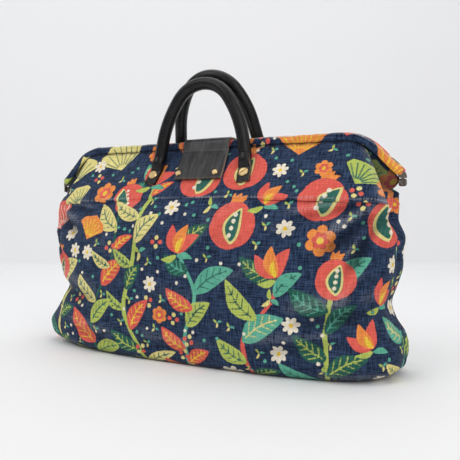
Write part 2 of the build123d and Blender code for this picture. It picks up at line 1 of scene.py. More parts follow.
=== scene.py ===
import math
import bmesh
import bpy
import numpy as np
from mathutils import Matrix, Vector


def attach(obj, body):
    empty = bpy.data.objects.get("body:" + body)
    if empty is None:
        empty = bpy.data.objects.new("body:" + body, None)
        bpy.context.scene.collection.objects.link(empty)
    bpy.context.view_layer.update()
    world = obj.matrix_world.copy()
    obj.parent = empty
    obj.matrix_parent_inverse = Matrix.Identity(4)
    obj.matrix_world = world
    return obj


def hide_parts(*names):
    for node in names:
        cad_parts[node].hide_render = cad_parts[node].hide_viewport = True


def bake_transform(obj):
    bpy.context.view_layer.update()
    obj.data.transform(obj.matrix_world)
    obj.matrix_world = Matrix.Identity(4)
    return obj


# A hinged-frame handbag in printed linen. Lengths are worked out in millimetres and
# written to the meshes in metres: +X to the right, -Y to the front, +Z up.

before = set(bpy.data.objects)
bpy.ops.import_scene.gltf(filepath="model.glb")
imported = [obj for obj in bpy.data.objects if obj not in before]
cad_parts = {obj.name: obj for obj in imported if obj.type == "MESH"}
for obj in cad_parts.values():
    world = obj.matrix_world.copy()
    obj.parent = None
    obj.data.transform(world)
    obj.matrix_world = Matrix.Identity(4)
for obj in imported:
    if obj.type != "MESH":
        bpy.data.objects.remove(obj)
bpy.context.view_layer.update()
millimetre = 0.001


# Adds a node; a value goes to the property of that name or else to the socket
def place(tree, kind, **values):
    node = tree.nodes.new(kind)
    for name, value in values.items():
        if hasattr(node, name):
            setattr(node, name, value)
        else:
            node.inputs[name.replace("_", " ")].default_value = value
    return node


def join(tree, source, target):
    tree.links.new(source, target)


# Adds a node that reads a vector
def placeAt(tree, kind, vector, **values):
    node = place(tree, kind, **values)
    join(tree, vector, node.inputs["Vector"])
    return node


def objectPoint(tree):
    return place(tree, "ShaderNodeTexCoord").outputs["Object"]


def storedValue(tree, name):
    return place(tree, "ShaderNodeAttribute", attribute_name=name).outputs["Fac"]


# A Principled material; each constant goes to the socket of its name
def newMaterial(name, **constants):
    material = bpy.data.materials.new(name)
    material.use_nodes = True
    tree = material.node_tree
    shader = next(n for n in tree.nodes if n.type == "BSDF_PRINCIPLED")
    for socket, value in constants.items():
        shader.inputs[socket.replace("_", " ")].default_value = value
    return material, tree, shader


# An empty node group with its sockets, inputs as (name, kind, value) and outputs as (name, kind)
def newGroup(name, inputs, outputs):
    group = bpy.data.node_groups.new(name, "ShaderNodeTree")
    for label, kind, value in inputs:
        socket = group.interface.new_socket(name=label, in_out="INPUT", socket_type=kind)
        if value is not None:
            socket.default_value = value
    for label, kind in outputs:
        group.interface.new_socket(name=label, in_out="OUTPUT", socket_type=kind)
    return group, group.nodes.new("NodeGroupInput"), group.nodes.new("NodeGroupOutput")


def mathNode(tree, operation, first, second, clamp=False):
    node = place(tree, "ShaderNodeMath", operation=operation, use_clamp=clamp)
    for index, value in enumerate((first, second)):
        if isinstance(value, (int, float)):
            node.inputs[index].default_value = value
        else:
            join(tree, value, node.inputs[index])
    return node.outputs[0]


def vectorProduct(tree, first, second):
    node = place(tree, "ShaderNodeVectorMath", operation="MULTIPLY")
    join(tree, first, node.inputs[0])
    if isinstance(second, tuple):
        node.inputs[1].default_value = second
    else:
        join(tree, second, node.inputs[1])
    return node.outputs[0]


def mixColour(tree, factor, first, second):
    node = place(tree, "ShaderNodeMix", data_type="RGBA")
    join(tree, factor, node.inputs[0])
    for index, value in ((6, first), (7, second)):
        if isinstance(value, tuple):
            node.inputs[index].default_value = value + (1.0,)
        else:
            join(tree, value, node.inputs[index])
    return node.outputs[2]


def addBump(tree, shader, height, strength, distance):
    bump = place(tree, "ShaderNodeBump", Strength=strength, Distance=distance)
    join(tree, height, bump.inputs["Height"])
    join(tree, bump.outputs[0], shader.inputs["Normal"])


# Linen: the weave and the printed colours over it

linenSettings = {
    "threads": 900.0, "threadDrawn": 0.09, "slubScale": 760.0, "slubGain": 2.7, "slubBase": 0.40,
    # the pale colour is wear and painted highlight, the near-black one painted shade
    "slubColour": (0.046, 0.080, 0.160), "wearAndHighlightColour": (0.56, 0.55, 0.55),
    "paintedShadeColour": (0.006, 0.008, 0.016), "wearAndHighlightGain": 2.2,
    "edgeRagged": 1.1, "edgeSharp": 1.6,  # how far threads break a colour's edge, its sharpness
    "deepShare": 0.82, "paleShare": 1.12, "paleLift": 0.03,  # a colour between and on the slubs
    "bump": 0.45, "bumpDepth": 0.0005,
    "roughness": 0.86, "specular": 0.16, "sheen": 0.06, "sheenRoughness": 0.5,
}

printColours = {
    "ground": (0.0020, 0.0085, 0.0290),
    "darkGreen": (0.012, 0.105, 0.075),
    "mint": (0.105, 0.420, 0.290),
    "lime": (0.470, 0.560, 0.110),
    "straw": (0.790, 0.690, 0.250),
    "coral": (0.760, 0.110, 0.080),
    "orange": (0.850, 0.270, 0.055),
    "cream": (0.860, 0.780, 0.630),
    "yellow": (0.860, 0.580, 0.045),
    "line": (0.020, 0.130, 0.100),
}
printOrder = ["darkGreen", "mint", "lime", "straw", "coral", "orange", "cream", "yellow", "line"]


# A drawn-out noise for each thread direction: their sum is the height, and the sum of their
# products with a coarser noise, stretched in contrast, is the slub
def makeLinenGroup():
    s = linenSettings
    group, entry, leave = newGroup(
        "linenWeave",
        [("Vector", "NodeSocketVector", None), ("Threads", "NodeSocketFloat", s["threads"])],
        [("Slub", "NodeSocketFloat"), ("Height", "NodeSocketFloat")])
    heights = []
    slubs = []
    for drawn in ((1.0, s["threadDrawn"], 1.0), (s["threadDrawn"], 1.0, 1.0)):
        thread = vectorProduct(group, entry.outputs["Vector"], drawn)
        fine = placeAt(group, "ShaderNodeTexNoise", thread, Detail=2.0, Roughness=0.6)
        join(group, entry.outputs["Threads"], fine.inputs["Scale"])
        coarse = placeAt(group, "ShaderNodeTexNoise", thread, Detail=1.0, Scale=s["slubScale"])
        heights.append(fine.outputs[0])
        slubs.append(mathNode(group, "MULTIPLY", fine.outputs[0], coarse.outputs[0]))
    join(group, mathNode(group, "ADD", *heights), leave.inputs["Height"])
    aboveMean = mathNode(group, "SUBTRACT", mathNode(group, "ADD", *slubs), 0.5)
    streaks = mathNode(group, "MULTIPLY", aboveMean, s["slubGain"])
    join(group, mathNode(group, "ADD", streaks, s["slubBase"], True), leave.inputs["Slub"])
    return group


linenGroup = makeLinenGroup()


# Each colour's mask is its stored distance, made ragged by the threads and clamped
def makePrintedCloth():
    s = linenSettings
    material, tree, shader = newMaterial(
        "printedLinen", Roughness=s["roughness"], Specular_IOR_Level=s["specular"],
        Sheen_Weight=s["sheen"], Sheen_Roughness=s["sheenRoughness"])
    uv = place(tree, "ShaderNodeUVMap", uv_map="flat")
    weave = placeAt(tree, "ShaderNodeGroup", uv.outputs[0], node_tree=linenGroup)
    slub = weave.outputs["Slub"]
    uneven = mathNode(tree, "SUBTRACT", weave.outputs["Height"], 1.0)
    ragged = mathNode(tree, "MULTIPLY", uneven, s["edgeRagged"])
    colour = mixColour(tree, slub, printColours["ground"], s["slubColour"])
    for index, name in enumerate(printOrder):
        if index % 3 == 0:
            field = place(tree, "ShaderNodeAttribute", attribute_name=f"print{index // 3}")
            parts = placeAt(tree, "ShaderNodeSeparateXYZ", field.outputs["Vector"])
        inside = mathNode(tree, "ADD", parts.outputs[index % 3], ragged)
        mask = mathNode(tree, "ADD", mathNode(tree, "MULTIPLY", inside, s["edgeSharp"]), 0.5, True)
        deep = tuple(s["deepShare"] * c for c in printColours[name])
        pale = tuple(min(1.0, s["paleShare"] * c + s["paleLift"]) for c in printColours[name])
        colour = mixColour(tree, mask, colour, mixColour(tree, slub, deep, pale))
    # Paler on the slubs where the stored mask asks, wear and painted highlight, then near-black
    # painted shade from the other mask
    showing = mathNode(tree, "MULTIPLY", slub, s["wearAndHighlightGain"], True)
    rubbed = mathNode(tree, "MULTIPLY", storedValue(tree, "wearAndHighlight"), showing)
    colour = mixColour(tree, rubbed, colour, s["wearAndHighlightColour"])
    colour = mixColour(tree, storedValue(tree, "paintedShade"), colour, s["paintedShadeColour"])
    join(tree, colour, shader.inputs["Base Color"])
    addBump(tree, shader, weave.outputs["Height"], s["bump"], s["bumpDepth"])
    return material


# One colour, darker between the slubs
def makePlainCloth(name, colour, threads):
    material, tree, shader = newMaterial(name, Roughness=0.9)
    weave = placeAt(tree, "ShaderNodeGroup", objectPoint(tree), node_tree=linenGroup,
                    Threads=threads)
    tint = mixColour(tree, weave.outputs["Slub"], tuple(0.8 * c for c in colour), colour)
    join(tree, tint, shader.inputs["Base Color"])
    addBump(tree, shader, weave.outputs["Height"], 0.3, 0.0004)
    return material


# Leather: pores, rubbed patches, raw edges and pressed creases

leatherSettings = {
    "poreScale": 900.0, "poreGain": 2.0, "patchScale": 70.0,
    "rubFrom": 0.42, "rubRoughness": 0.30, "rawRoughness": 0.85,
    "rawColour": (0.300, 0.215, 0.150), "creaseColour": (0.004, 0.004, 0.004),
    "bump": 0.22, "bumpDepth": 0.0004,
    "tabLeather": {"base": (0.006, 0.006, 0.007), "rubbed": (0.075, 0.075, 0.080), "rubGain": 3.0,
                   "roughness": 0.16, "stretch": (3.2, 0.5, 0.5), "shine": 0.38},
    "handleLeather": {"base": (0.006, 0.006, 0.007), "rubbed": (0.018, 0.018, 0.020),
                      "rubGain": 1.4, "roughness": 0.08, "stretch": (1.0, 1.0, 1.0), "shine": 0.26},
}


# Height is the distance from the pores' edges; rub is a noise, stretched as the leather is
def makeGrainGroup():
    s = leatherSettings
    group, entry, leave = newGroup(
        "leatherGrain",
        [("Vector", "NodeSocketVector", None), ("Scale", "NodeSocketFloat", s["poreScale"]),
         ("Stretch", "NodeSocketVector", (1.0, 1.0, 1.0))],
        [("Rub", "NodeSocketFloat"), ("Height", "NodeSocketFloat")])
    pores = placeAt(group, "ShaderNodeTexVoronoi", entry.outputs["Vector"],
                    feature="DISTANCE_TO_EDGE")
    join(group, entry.outputs["Scale"], pores.inputs["Scale"])
    drawn = vectorProduct(group, entry.outputs["Vector"], entry.outputs["Stretch"])
    rub = placeAt(group, "ShaderNodeTexNoise", drawn, Scale=s["patchScale"], Detail=5.0,
                  Roughness=0.65)
    height = mathNode(group, "MULTIPLY", pores.outputs["Distance"], s["poreGain"], True)
    join(group, height, leave.inputs["Height"])
    join(group, rub.outputs[0], leave.inputs["Rub"])
    return group


grainGroup = makeGrainGroup()


# The base colour, bared where the rub passes its threshold, then raw edges and creases
def makeLeather(name):
    s = leatherSettings
    own = s[name]
    material, tree, shader = newMaterial(name, Specular_IOR_Level=own["shine"])
    grain = placeAt(tree, "ShaderNodeGroup", objectPoint(tree), node_tree=grainGroup,
                    Stretch=own["stretch"])
    rub = grain.outputs["Rub"]
    bared = mathNode(tree, "MULTIPLY", mathNode(tree, "SUBTRACT", rub, s["rubFrom"]),
                     own["rubGain"], True)
    raw = storedValue(tree, "rawEdge")
    colour = mixColour(tree, bared, own["base"], own["rubbed"])
    colour = mixColour(tree, raw, colour, s["rawColour"])
    colour = mixColour(tree, storedValue(tree, "crease"), colour, s["creaseColour"])
    join(tree, colour, shader.inputs["Base Color"])
    dressed = mathNode(tree, "ADD", mathNode(tree, "MULTIPLY", rub, s["rubRoughness"]),
                       own["roughness"])
    rough = mathNode(tree, "MAXIMUM", dressed, mathNode(tree, "MULTIPLY", raw, s["rawRoughness"]))
    join(tree, rough, shader.inputs["Roughness"])
    addBump(tree, shader, grain.outputs["Height"], s["bump"], s["bumpDepth"])
    return material


# Metal and board

hardSettings = {
    "dulledBrass": {"colour": (0.78, 0.56, 0.27), "roughness": 0.24, "tarnish": 1.5},
    "brownedSteel": {"colour": (0.20, 0.17, 0.15), "roughness": 0.42, "tarnish": 1.4},
    "tarnishFrom": 0.35, "tarnishShare": 0.35, "tarnishRoughness": 0.35, "cloudScale": 260.0,
    "boardDark": (0.20, 0.15, 0.10), "boardPale": (0.38, 0.31, 0.22), "fleckScale": 600.0,
}


# One colour, darker and rougher where the cloud passes its threshold
def makeMetal(name):
    s = hardSettings
    own = s[name]
    material, tree, shader = newMaterial(name, Metallic=1.0)
    cloud = placeAt(tree, "ShaderNodeTexNoise", objectPoint(tree), Scale=s["cloudScale"],
                    Detail=4.0)
    thick = mathNode(tree, "SUBTRACT", cloud.outputs[0], s["tarnishFrom"])
    dull = mathNode(tree, "MULTIPLY", thick, own["tarnish"], True)
    dark = tuple(s["tarnishShare"] * c for c in own["colour"])
    join(tree, mixColour(tree, dull, own["colour"], dark), shader.inputs["Base Color"])
    rough = mathNode(tree, "ADD", mathNode(tree, "MULTIPLY", dull, s["tarnishRoughness"]),
                     own["roughness"])
    join(tree, rough, shader.inputs["Roughness"])
    return material


def makeBoard():
    s = hardSettings
    material, tree, shader = newMaterial("fibreboard", Roughness=0.9)
    flecks = placeAt(tree, "ShaderNodeTexNoise", objectPoint(tree), Scale=s["fleckScale"],
                     Detail=3.0)
    join(tree, mixColour(tree, flecks.outputs[0], s["boardDark"], s["boardPale"]),
         shader.inputs["Base Color"])
    return material


printedCloth = makePrintedCloth()
liningCloth = makePlainCloth("liningCotton", (0.62, 0.57, 0.47), 1300.0)
coreCloth = makePlainCloth("coreCotton", (0.55, 0.48, 0.38), 700.0)
tabLeather = makeLeather("tabLeather")
handleLeather = makeLeather("handleLeather")
brass = makeMetal("dulledBrass")
steel = makeMetal("brownedSteel")
board = makeBoard()
print("materials made")

# Shared curves


# A bell of the distance from a middle, one at the middle
def bell(value, middle, width):
    return np.exp(-((value - middle) / width) ** 2)


# A straight rise from nought at the start to one after the length
def ramp(value, start, length):
    return np.clip((value - start) / length, 0, 1)


# A power that keeps the sign, for rounded boxes
def signedPower(value, power):
    return np.sign(value) * np.abs(value) ** power


# The shorter way round from a middle to an angle
def angleFrom(angle, middle):
    return np.angle(np.exp(1j * (angle - middle)))


# Length run along a line of points, from the first one
def runAlong(points):
    return np.concatenate([[0], np.cumsum(np.linalg.norm(np.diff(points, axis=0), axis=1))])


# Unit steps along a line of points
def directionAlong(points):
    direction = np.gradient(points, axis=0)
    return direction / np.linalg.norm(direction, axis=1)[:, None]


# Points at given runs along a line in a plane
def pointsAt(even, travelled, line):
    return np.stack([np.interp(even, travelled, line[:, 0]),
                     np.interp(even, travelled, line[:, 1])], -1)


# A smooth curve through a table's rows: cubic steps with slopes taken across the neighbours
def smoothTable(table, at):
    keys, values = table[:, 0], table[:, 1:]
    slopes = np.gradient(values, keys, axis=0)
    index = np.clip(np.searchsorted(keys, at, side="right") - 1, 0, len(keys) - 2)
    gap = (keys[index + 1] - keys[index])[:, None]
    t = ((at - keys[index]) / gap[:, 0])[:, None]
    low, high = values[index], values[index + 1]
    return ((2 * t ** 3 - 3 * t ** 2 + 1) * low + (t ** 3 - 2 * t ** 2 + t) * gap * slopes[index]
            + (3 * t ** 2 - 2 * t ** 3) * high + (t ** 3 - t ** 2) * gap * slopes[index + 1])


# The print's shapes: each gives how far inside it a flat point lies, in millimetres. On the
# flat cloth a runs across from the middle and b up from the base.


# Flat points as seen from a centre, turned by an angle
def turned(a, b, centreA, centreB, angle):
    c, s = math.cos(angle), math.sin(angle)
    return (a - centreA) * c + (b - centreB) * s, (b - centreB) * c - (a - centreA) * s


# Radius times a rounded petal wave of the angle, less the distance from the middle
def rosette(a, b, centreA, centreB, radius, petals, turn, depth):
    u, v = turned(a, b, centreA, centreB, turn)
    wave = np.abs(np.cos(petals * np.arctan2(v, u) / 2)) ** 0.55
    return radius * (1 - depth + depth * wave) - np.hypot(u, v)


# Half the width times a sine swell along the leaf, less the distance from its bent rib
def leafShape(a, b, footA, footB, angle, length, width):
    u, v = turned(a, b, footA, footB, angle)
    share = ramp(u, 0, length)
    bend = 0.10 * length * np.sin(math.pi * share)
    half = width / 2 * np.sin(math.pi * share ** 0.8) ** 0.8
    return half - np.abs(v - bend) - np.maximum(0, np.maximum(-u, u - length))


# Lines along the rib and slanting out of it to both sides
def leafRibs(a, b, footA, footB, angle, length, width):
    u, v = turned(a, b, footA, footB, angle)
    v = v - 0.10 * length * np.sin(math.pi * ramp(u, 0, length))
    middle = 0.75 - np.abs(v)
    spacing = max(5.5, 0.17 * length)
    slant = (u - 0.9 * np.abs(v)) % spacing
    side = 0.6 - np.minimum(slant, spacing - slant) * 0.75
    room = leafShape(a, b, footA, footB, angle, length, width) - 1.6
    along = np.minimum(u - 0.08 * length, 0.86 * length - u)
    return np.minimum(np.maximum(middle, np.minimum(side, room)), along)


# The lesser of the distance inside a scalloped arc and the distance inside both straight edges
def fanShape(a, b, footA, footB, angle, radius, spread):
    u, v = turned(a, b, footA, footB, angle)
    away = np.hypot(u, v)
    turn = np.arctan2(v, u)
    scallops = radius * (1 - 0.07 * np.abs(np.sin(4.5 * turn)))
    return np.minimum(scallops - away, away * np.sin(np.clip(spread - np.abs(turn), -1.2, 1.2)))


# Thin rays out of the fan's foot, kept off its rim
def fanRibs(a, b, footA, footB, angle, radius, spread):
    u, v = turned(a, b, footA, footB, angle)
    away = np.hypot(u, v)
    turn = np.arctan2(v, u)
    step = spread / 3.5
    nearest = np.abs(turn - step * np.round(turn / step))
    return np.minimum(0.7 - away * np.sin(nearest),
                      np.minimum(away - 0.2 * radius, 0.84 * radius - away))


# A vine's place across at a height: a straight lean with two sine swings
def vineAt(b, vine):
    return (vine["foot"] + vine["lean"] * b
            + vine["swing"] * np.sin(b / vine["wave"] + vine["phase"])
            + 0.35 * vine["swing"] * np.sin(2.3 * b / vine["wave"]))


printSettings = {
    "seedFront": 17, "seedBack": 29, "firstVine": -262.0, "vineGap": 71.0, "halfLength": 270.0,
    "foot": -20, "top": 292.0, "fieldFar": 30.0,
    "stems": ["mint", "straw", "darkGreen", "lime", "mint", "coral", "lime"],
    "leaves": [("lime", "line"), ("mint", "straw"), ("straw", "line"), ("darkGreen", "mint"),
               ("mint", "line"), ("coral", "yellow"), ("lime", "darkGreen"), ("darkGreen", "lime")],
    "fans": [("lime", "line"), ("mint", "cream"), ("orange", "yellow"), ("straw", "line"),
             ("coral", "cream")],
    "rounds": [  # room round a motif, tries and shapes, from the largest
        (25.0, 260, ("fan", "fruit", "fan")), (17.0, 500, ("tulip", "daisy", "fan", "bloom")),
        (11.0, 700, ("daisy", "trio", "bloom", "daisy")), (6.0, 900, ("berries", "trio")),
        (3.0, 900, ("dot",))],
}


# Lists the motifs of one side as (shape, values), the ones drawn later lying on top
def layOutPrint(seed):
    s = printSettings
    random = np.random.RandomState(seed)
    motifs = []
    spots = []
    vines = []
    for foot in np.arange(s["firstVine"], s["halfLength"], s["vineGap"]):
        vines.append({"foot": foot + random.uniform(-10, 10), "lean": random.uniform(-0.16, 0.16),
                      "swing": random.uniform(9, 16), "wave": random.uniform(28, 42),
                      "phase": random.uniform(0, 6), "top": random.uniform(110, 265)})
    for index, vine in enumerate(vines):
        stem = s["stems"][index % len(s["stems"])]
        motifs.append(("stem", (vine, random.uniform(3.0, 5.0), stem)))
        height = random.uniform(-4, 14)
        side = 1 if index % 2 else -1
        while height < vine["top"] - 8:
            colours = s["leaves"][random.randint(len(s["leaves"]))]
            length = random.uniform(31, 50) * (1.1 - 0.25 * height / 250)
            angle = math.pi / 2 - side * random.uniform(0.55, 1.15)
            foot = (vineAt(height, vine), height)
            width = length * random.uniform(0.36, 0.52)
            motifs.append(("leaf", (foot, angle, length, width, colours)))
            spots.append((foot[0] + 0.5 * length * math.cos(angle),
                          height + 0.5 * length * math.sin(angle), 0.33 * length))
            height += random.uniform(17, 27)
            side = -side
        head = (vineAt(vine["top"], vine), vine["top"])
        shape = ("tulip", "fruit", "daisy")[random.randint(3)]
        motifs.append((shape, (head, 1.15, random.uniform(-0.4, 0.4))))
        spots.append(head + (20.0,))
    for radius, tries, shapes in s["rounds"]:
        for attempt in range(tries):
            a = random.uniform(-s["halfLength"], s["halfLength"])
            b = random.uniform(s["foot"], s["top"])
            if all(math.hypot(a - x, b - y) > radius + r for x, y, r in spots):
                spots.append((a, b, radius))
                shape = shapes[random.randint(len(shapes))]
                motifs.append((shape, ((a, b), radius / 17.0, random.uniform(-0.6, 0.6))))
    return motifs


# Paints one motif: paint takes a colour's name and how far inside each point lies
def drawMotif(shape, values, a, b, paint):
    (x, y), scale, turn = values
    upright = math.pi / 2 + turn
    if shape == "fruit":
        for lean in (-0.5, 0.0, 0.5):
            paint("orange",
                  leafShape(a, b, x, y + 13 * scale, upright + lean, 11 * scale, 5 * scale))
        paint("coral", rosette(a, b, x, y, 17 * scale, 3, turn, 0.10))
        paint("straw", leafShape(a, b, x, y - 13 * scale, upright, 26 * scale, 14 * scale))
        paint("line", leafShape(a, b, x, y - 11 * scale, upright, 22 * scale, 10 * scale))
        for step in (-7.0, -2.0, 3.0, 7.5):
            seed = np.hypot(a - x + step * scale * math.sin(turn), b - y - step * scale)
            paint("cream", 1.7 * scale - seed)
    elif shape == "fan":
        colours = printSettings["fans"][int(abs(13 * x + 7 * y)) % len(printSettings["fans"])]
        fan = (x, y - 14 * scale, upright, 29 * scale, 0.95)
        body = fanShape(a, b, *fan)
        paint(colours[0], body)
        paint(colours[1], np.minimum(fanRibs(a, b, *fan), body - 0.5))
    elif shape == "tulip":
        foot = y - 12 * scale
        for colour, lean in (("mint", -1.7), ("lime", 1.8)):
            paint(colour, leafShape(a, b, x, foot - 3, math.pi / 2 + lean, 17 * scale, 6 * scale))
        for lean in (-0.6, 0.6, 0.0):
            paint("coral" if lean else "orange",
                  leafShape(a, b, x, foot, upright + lean, 27 * scale, 12 * scale))
        paint("yellow", leafShape(a, b, x, foot, upright, 15 * scale, 5 * scale))
    elif shape == "bloom":
        paint("orange", rosette(a, b, x, y, 15 * scale, 6, turn, 0.36))
        paint("coral", rosette(a, b, x, y, 8.5 * scale, 6, turn + 0.5, 0.40))
        paint("yellow", 3.4 * scale - np.hypot(a - x, b - y))
    elif shape == "daisy":
        paint("cream", rosette(a, b, x, y, 14 * scale, 7, turn, 0.62))
        paint("yellow", 3.3 * scale - np.hypot(a - x, b - y))
    elif shape == "trio":
        for index, colour in enumerate(("mint", "lime", "straw")):
            paint(colour, leafShape(a, b, x, y, turn + 2.1 * index, 17 * scale, 7 * scale))
    elif shape == "berries":
        for index in range(4):
            angle = turn + 1.57 * index
            berry = np.hypot(a - x - 4.6 * math.cos(angle), b - y - 4.6 * math.sin(angle))
            paint("straw" if index % 2 else "coral", 2.5 - berry)
    else:
        paint(("mint", "cream", "lime")[int(3 * abs(turn)) % 3], 1.9 - np.hypot(a - x, b - y))


# The nine distance fields at flat points; painting a colour cuts away those that lie over it
def drawPrint(a, b, seed):
    fields = {name: np.full(a.shape, -printSettings["fieldFar"]) for name in printOrder}
    for shape, values in layOutPrint(seed):
        if shape == "stem":
            vine, width, colour = values
            close = np.abs(a - vineAt(b, vine)) < 12
        else:
            reach = 62 if shape == "leaf" else 46
            close = (np.abs(a - values[0][0]) < reach) & (np.abs(b - values[0][1]) < reach)
        if not close.any():
            continue
        at, bt = a[close], b[close]

        def paint(colour, inside):
            for above in printOrder[printOrder.index(colour) + 1:]:
                fields[above][close] = np.minimum(fields[above][close], -inside)
            fields[colour][close] = np.maximum(fields[colour][close], inside)

        if shape == "stem":
            away = np.abs(at - vineAt(bt, vine)) * 0.93
            paint(colour, np.minimum(width / 2 - away, vine["top"] - bt))
        elif shape == "leaf":
            foot, angle, length, width, colours = values
            leaf = (*foot, angle, length, width)
            body = leafShape(at, bt, *leaf)
            paint(colours[0], body)
            paint(colours[1], np.minimum(leafRibs(at, bt, *leaf), body - 0.5))
        else:
            drawMotif(shape, values, at, bt, paint)
    return fields


# Meshes from arrays


# An object at the origin whose mesh holds the points, in metres, and faces of one size
def meshFromArrays(name, points, faces, material, smooth=True):
    mesh = bpy.data.meshes.new(name)
    points = np.asarray(points, float).reshape(-1, 3) * millimetre
    faces = np.asarray(faces, np.int32)
    mesh.vertices.add(len(points))
    mesh.vertices.foreach_set("co", points.astype(np.float32).ravel())
    mesh.loops.add(faces.size)
    mesh.loops.foreach_set("vertex_index", faces.ravel())
    mesh.polygons.add(len(faces))
    starts = np.arange(0, faces.size, faces.shape[1], dtype=np.int32)
    mesh.polygons.foreach_set("loop_start", starts)
    mesh.update(calc_edges=True)
    mesh.polygons.foreach_set("use_smooth", np.full(len(faces), smooth))
    mesh.materials.append(material)
    piece = bpy.data.objects.new(name, mesh)
    bpy.context.scene.collection.objects.link(piece)
    return piece


# Quads of a grid of rows by columns, joined round if closed
def gridFaces(rows, columns, closed=False, flip=False):
    i, j = np.meshgrid(np.arange(rows - 1), np.arange(columns if closed else columns - 1),
                       indexing="ij")
    here, beside = i * columns + j, i * columns + (j + 1) % columns
    quads = np.stack([here, beside, beside + columns, here + columns], -1).reshape(-1, 4)
    return quads[:, ::-1] if flip else quads


# Two triangles for each quad
def halved(quads):
    return [quads[:, [0, 1, 2]], quads[:, [0, 2, 3]]]


def recalculateNormals(piece):
    shape = bmesh.new()
    shape.from_mesh(piece.data)
    bmesh.ops.recalc_face_normals(shape, faces=shape.faces)
    shape.to_mesh(piece.data)
    shape.free()


def addFloat(piece, name, values):
    attribute = piece.data.attributes.new(name, "FLOAT", "POINT")
    attribute.data.foreach_set("value", np.asarray(values, np.float32).ravel())


# Stores the flat coordinates as a UV map, for the weave
def addUv(piece, a, b):
    layer = piece.data.uv_layers.new(name="flat")
    corner = np.zeros(len(piece.data.loops), np.int32)
    piece.data.loops.foreach_get("vertex_index", corner)
    both = np.stack([a.ravel()[corner], b.ravel()[corner]], -1) * millimetre
    layer.data.foreach_set("uv", both.astype(np.float32).ravel())


# Stores the nine fields as three vectors
def addPrint(piece, a, b, side):
    seed = printSettings["seedFront"] if side < 0 else printSettings["seedBack"]
    fields = drawPrint(a.ravel(), b.ravel(), seed)
    for index in range(3):
        names = printOrder[3 * index:3 * index + 3]
        attribute = piece.data.attributes.new(f"print{index}", "FLOAT_VECTOR", "POINT")
        stacked = np.stack([fields[n] for n in names], -1).astype(np.float32)
        attribute.data.foreach_set("vector", stacked.ravel())


# Frame and panel lines shared with the solids' shape

hingeHalfSpan = 213.0
barHeight = 234.5
barEndHeight = 192.5
cornerRadius = 45.0
endRadius = 8.0
casingDepth = 8.6
casingWidth = 7.4
halfOffset = 4.1  # from the middle to each frame half
rootHalf = math.sqrt(0.5)
legSum = hingeHalfSpan - endRadius * (1 - rootHalf) + barEndHeight + endRadius * rootHalf
flatHalf = legSum - (barHeight - cornerRadius * (1 - rootHalf)) - cornerRadius * rootHalf
seamGap = 0.5
panelTilt = math.radians(35.5)
panelTop = barHeight - casingDepth / 2 - seamGap
panelTopY = halfOffset + 2.0
panelLength = 70.0
panelLevelHalf = 75.0  # beyond it the panel's foot draws in
panelEndRun = 130.0
panelEndDepth = 27.0
panelEndDrop = 4.0


# Height of the casing's lower edge: level, then an arc, then a slope of one in one
def casingUnderside(x):
    reach = np.abs(x) - flatHalf
    inner = cornerRadius - casingDepth / 2
    bulge = np.sqrt(np.maximum(0, inner ** 2 - np.clip(reach, 0, None) ** 2))
    arc = barHeight - cornerRadius + bulge
    slope = legSum - np.abs(x) - casingDepth * rootHalf
    bent = np.where(reach <= inner * rootHalf, arc, slope)
    return np.where(reach <= 0, barHeight - casingDepth / 2, bent)


# Share of the way out along a panel's drawn-in end
def panelRun(x):
    return np.clip((np.abs(x) - panelLevelHalf) / panelEndRun, 0, None)


# Height of a panel's lower edge: level, dropping a little along the ends
def panelFoot(x):
    return panelTop - panelLength * math.cos(panelTilt) - panelEndDrop * panelRun(x)


# Depth of a shoulder panel's outer face at x, z: straight slopes from the seam to the foot
def panelSurface(x, z):
    fullY = panelTopY + panelLength * math.sin(panelTilt)
    footY = fullY - (fullY - panelEndDepth) * panelRun(x) ** 2.2
    headZ = casingUnderside(x) - seamGap
    return panelTopY + (footY - panelTopY) * (headZ - z) / np.maximum(6.0, headZ - panelFoot(x))


# Cloth body: half shells from the middle of the base up to the casings' seams

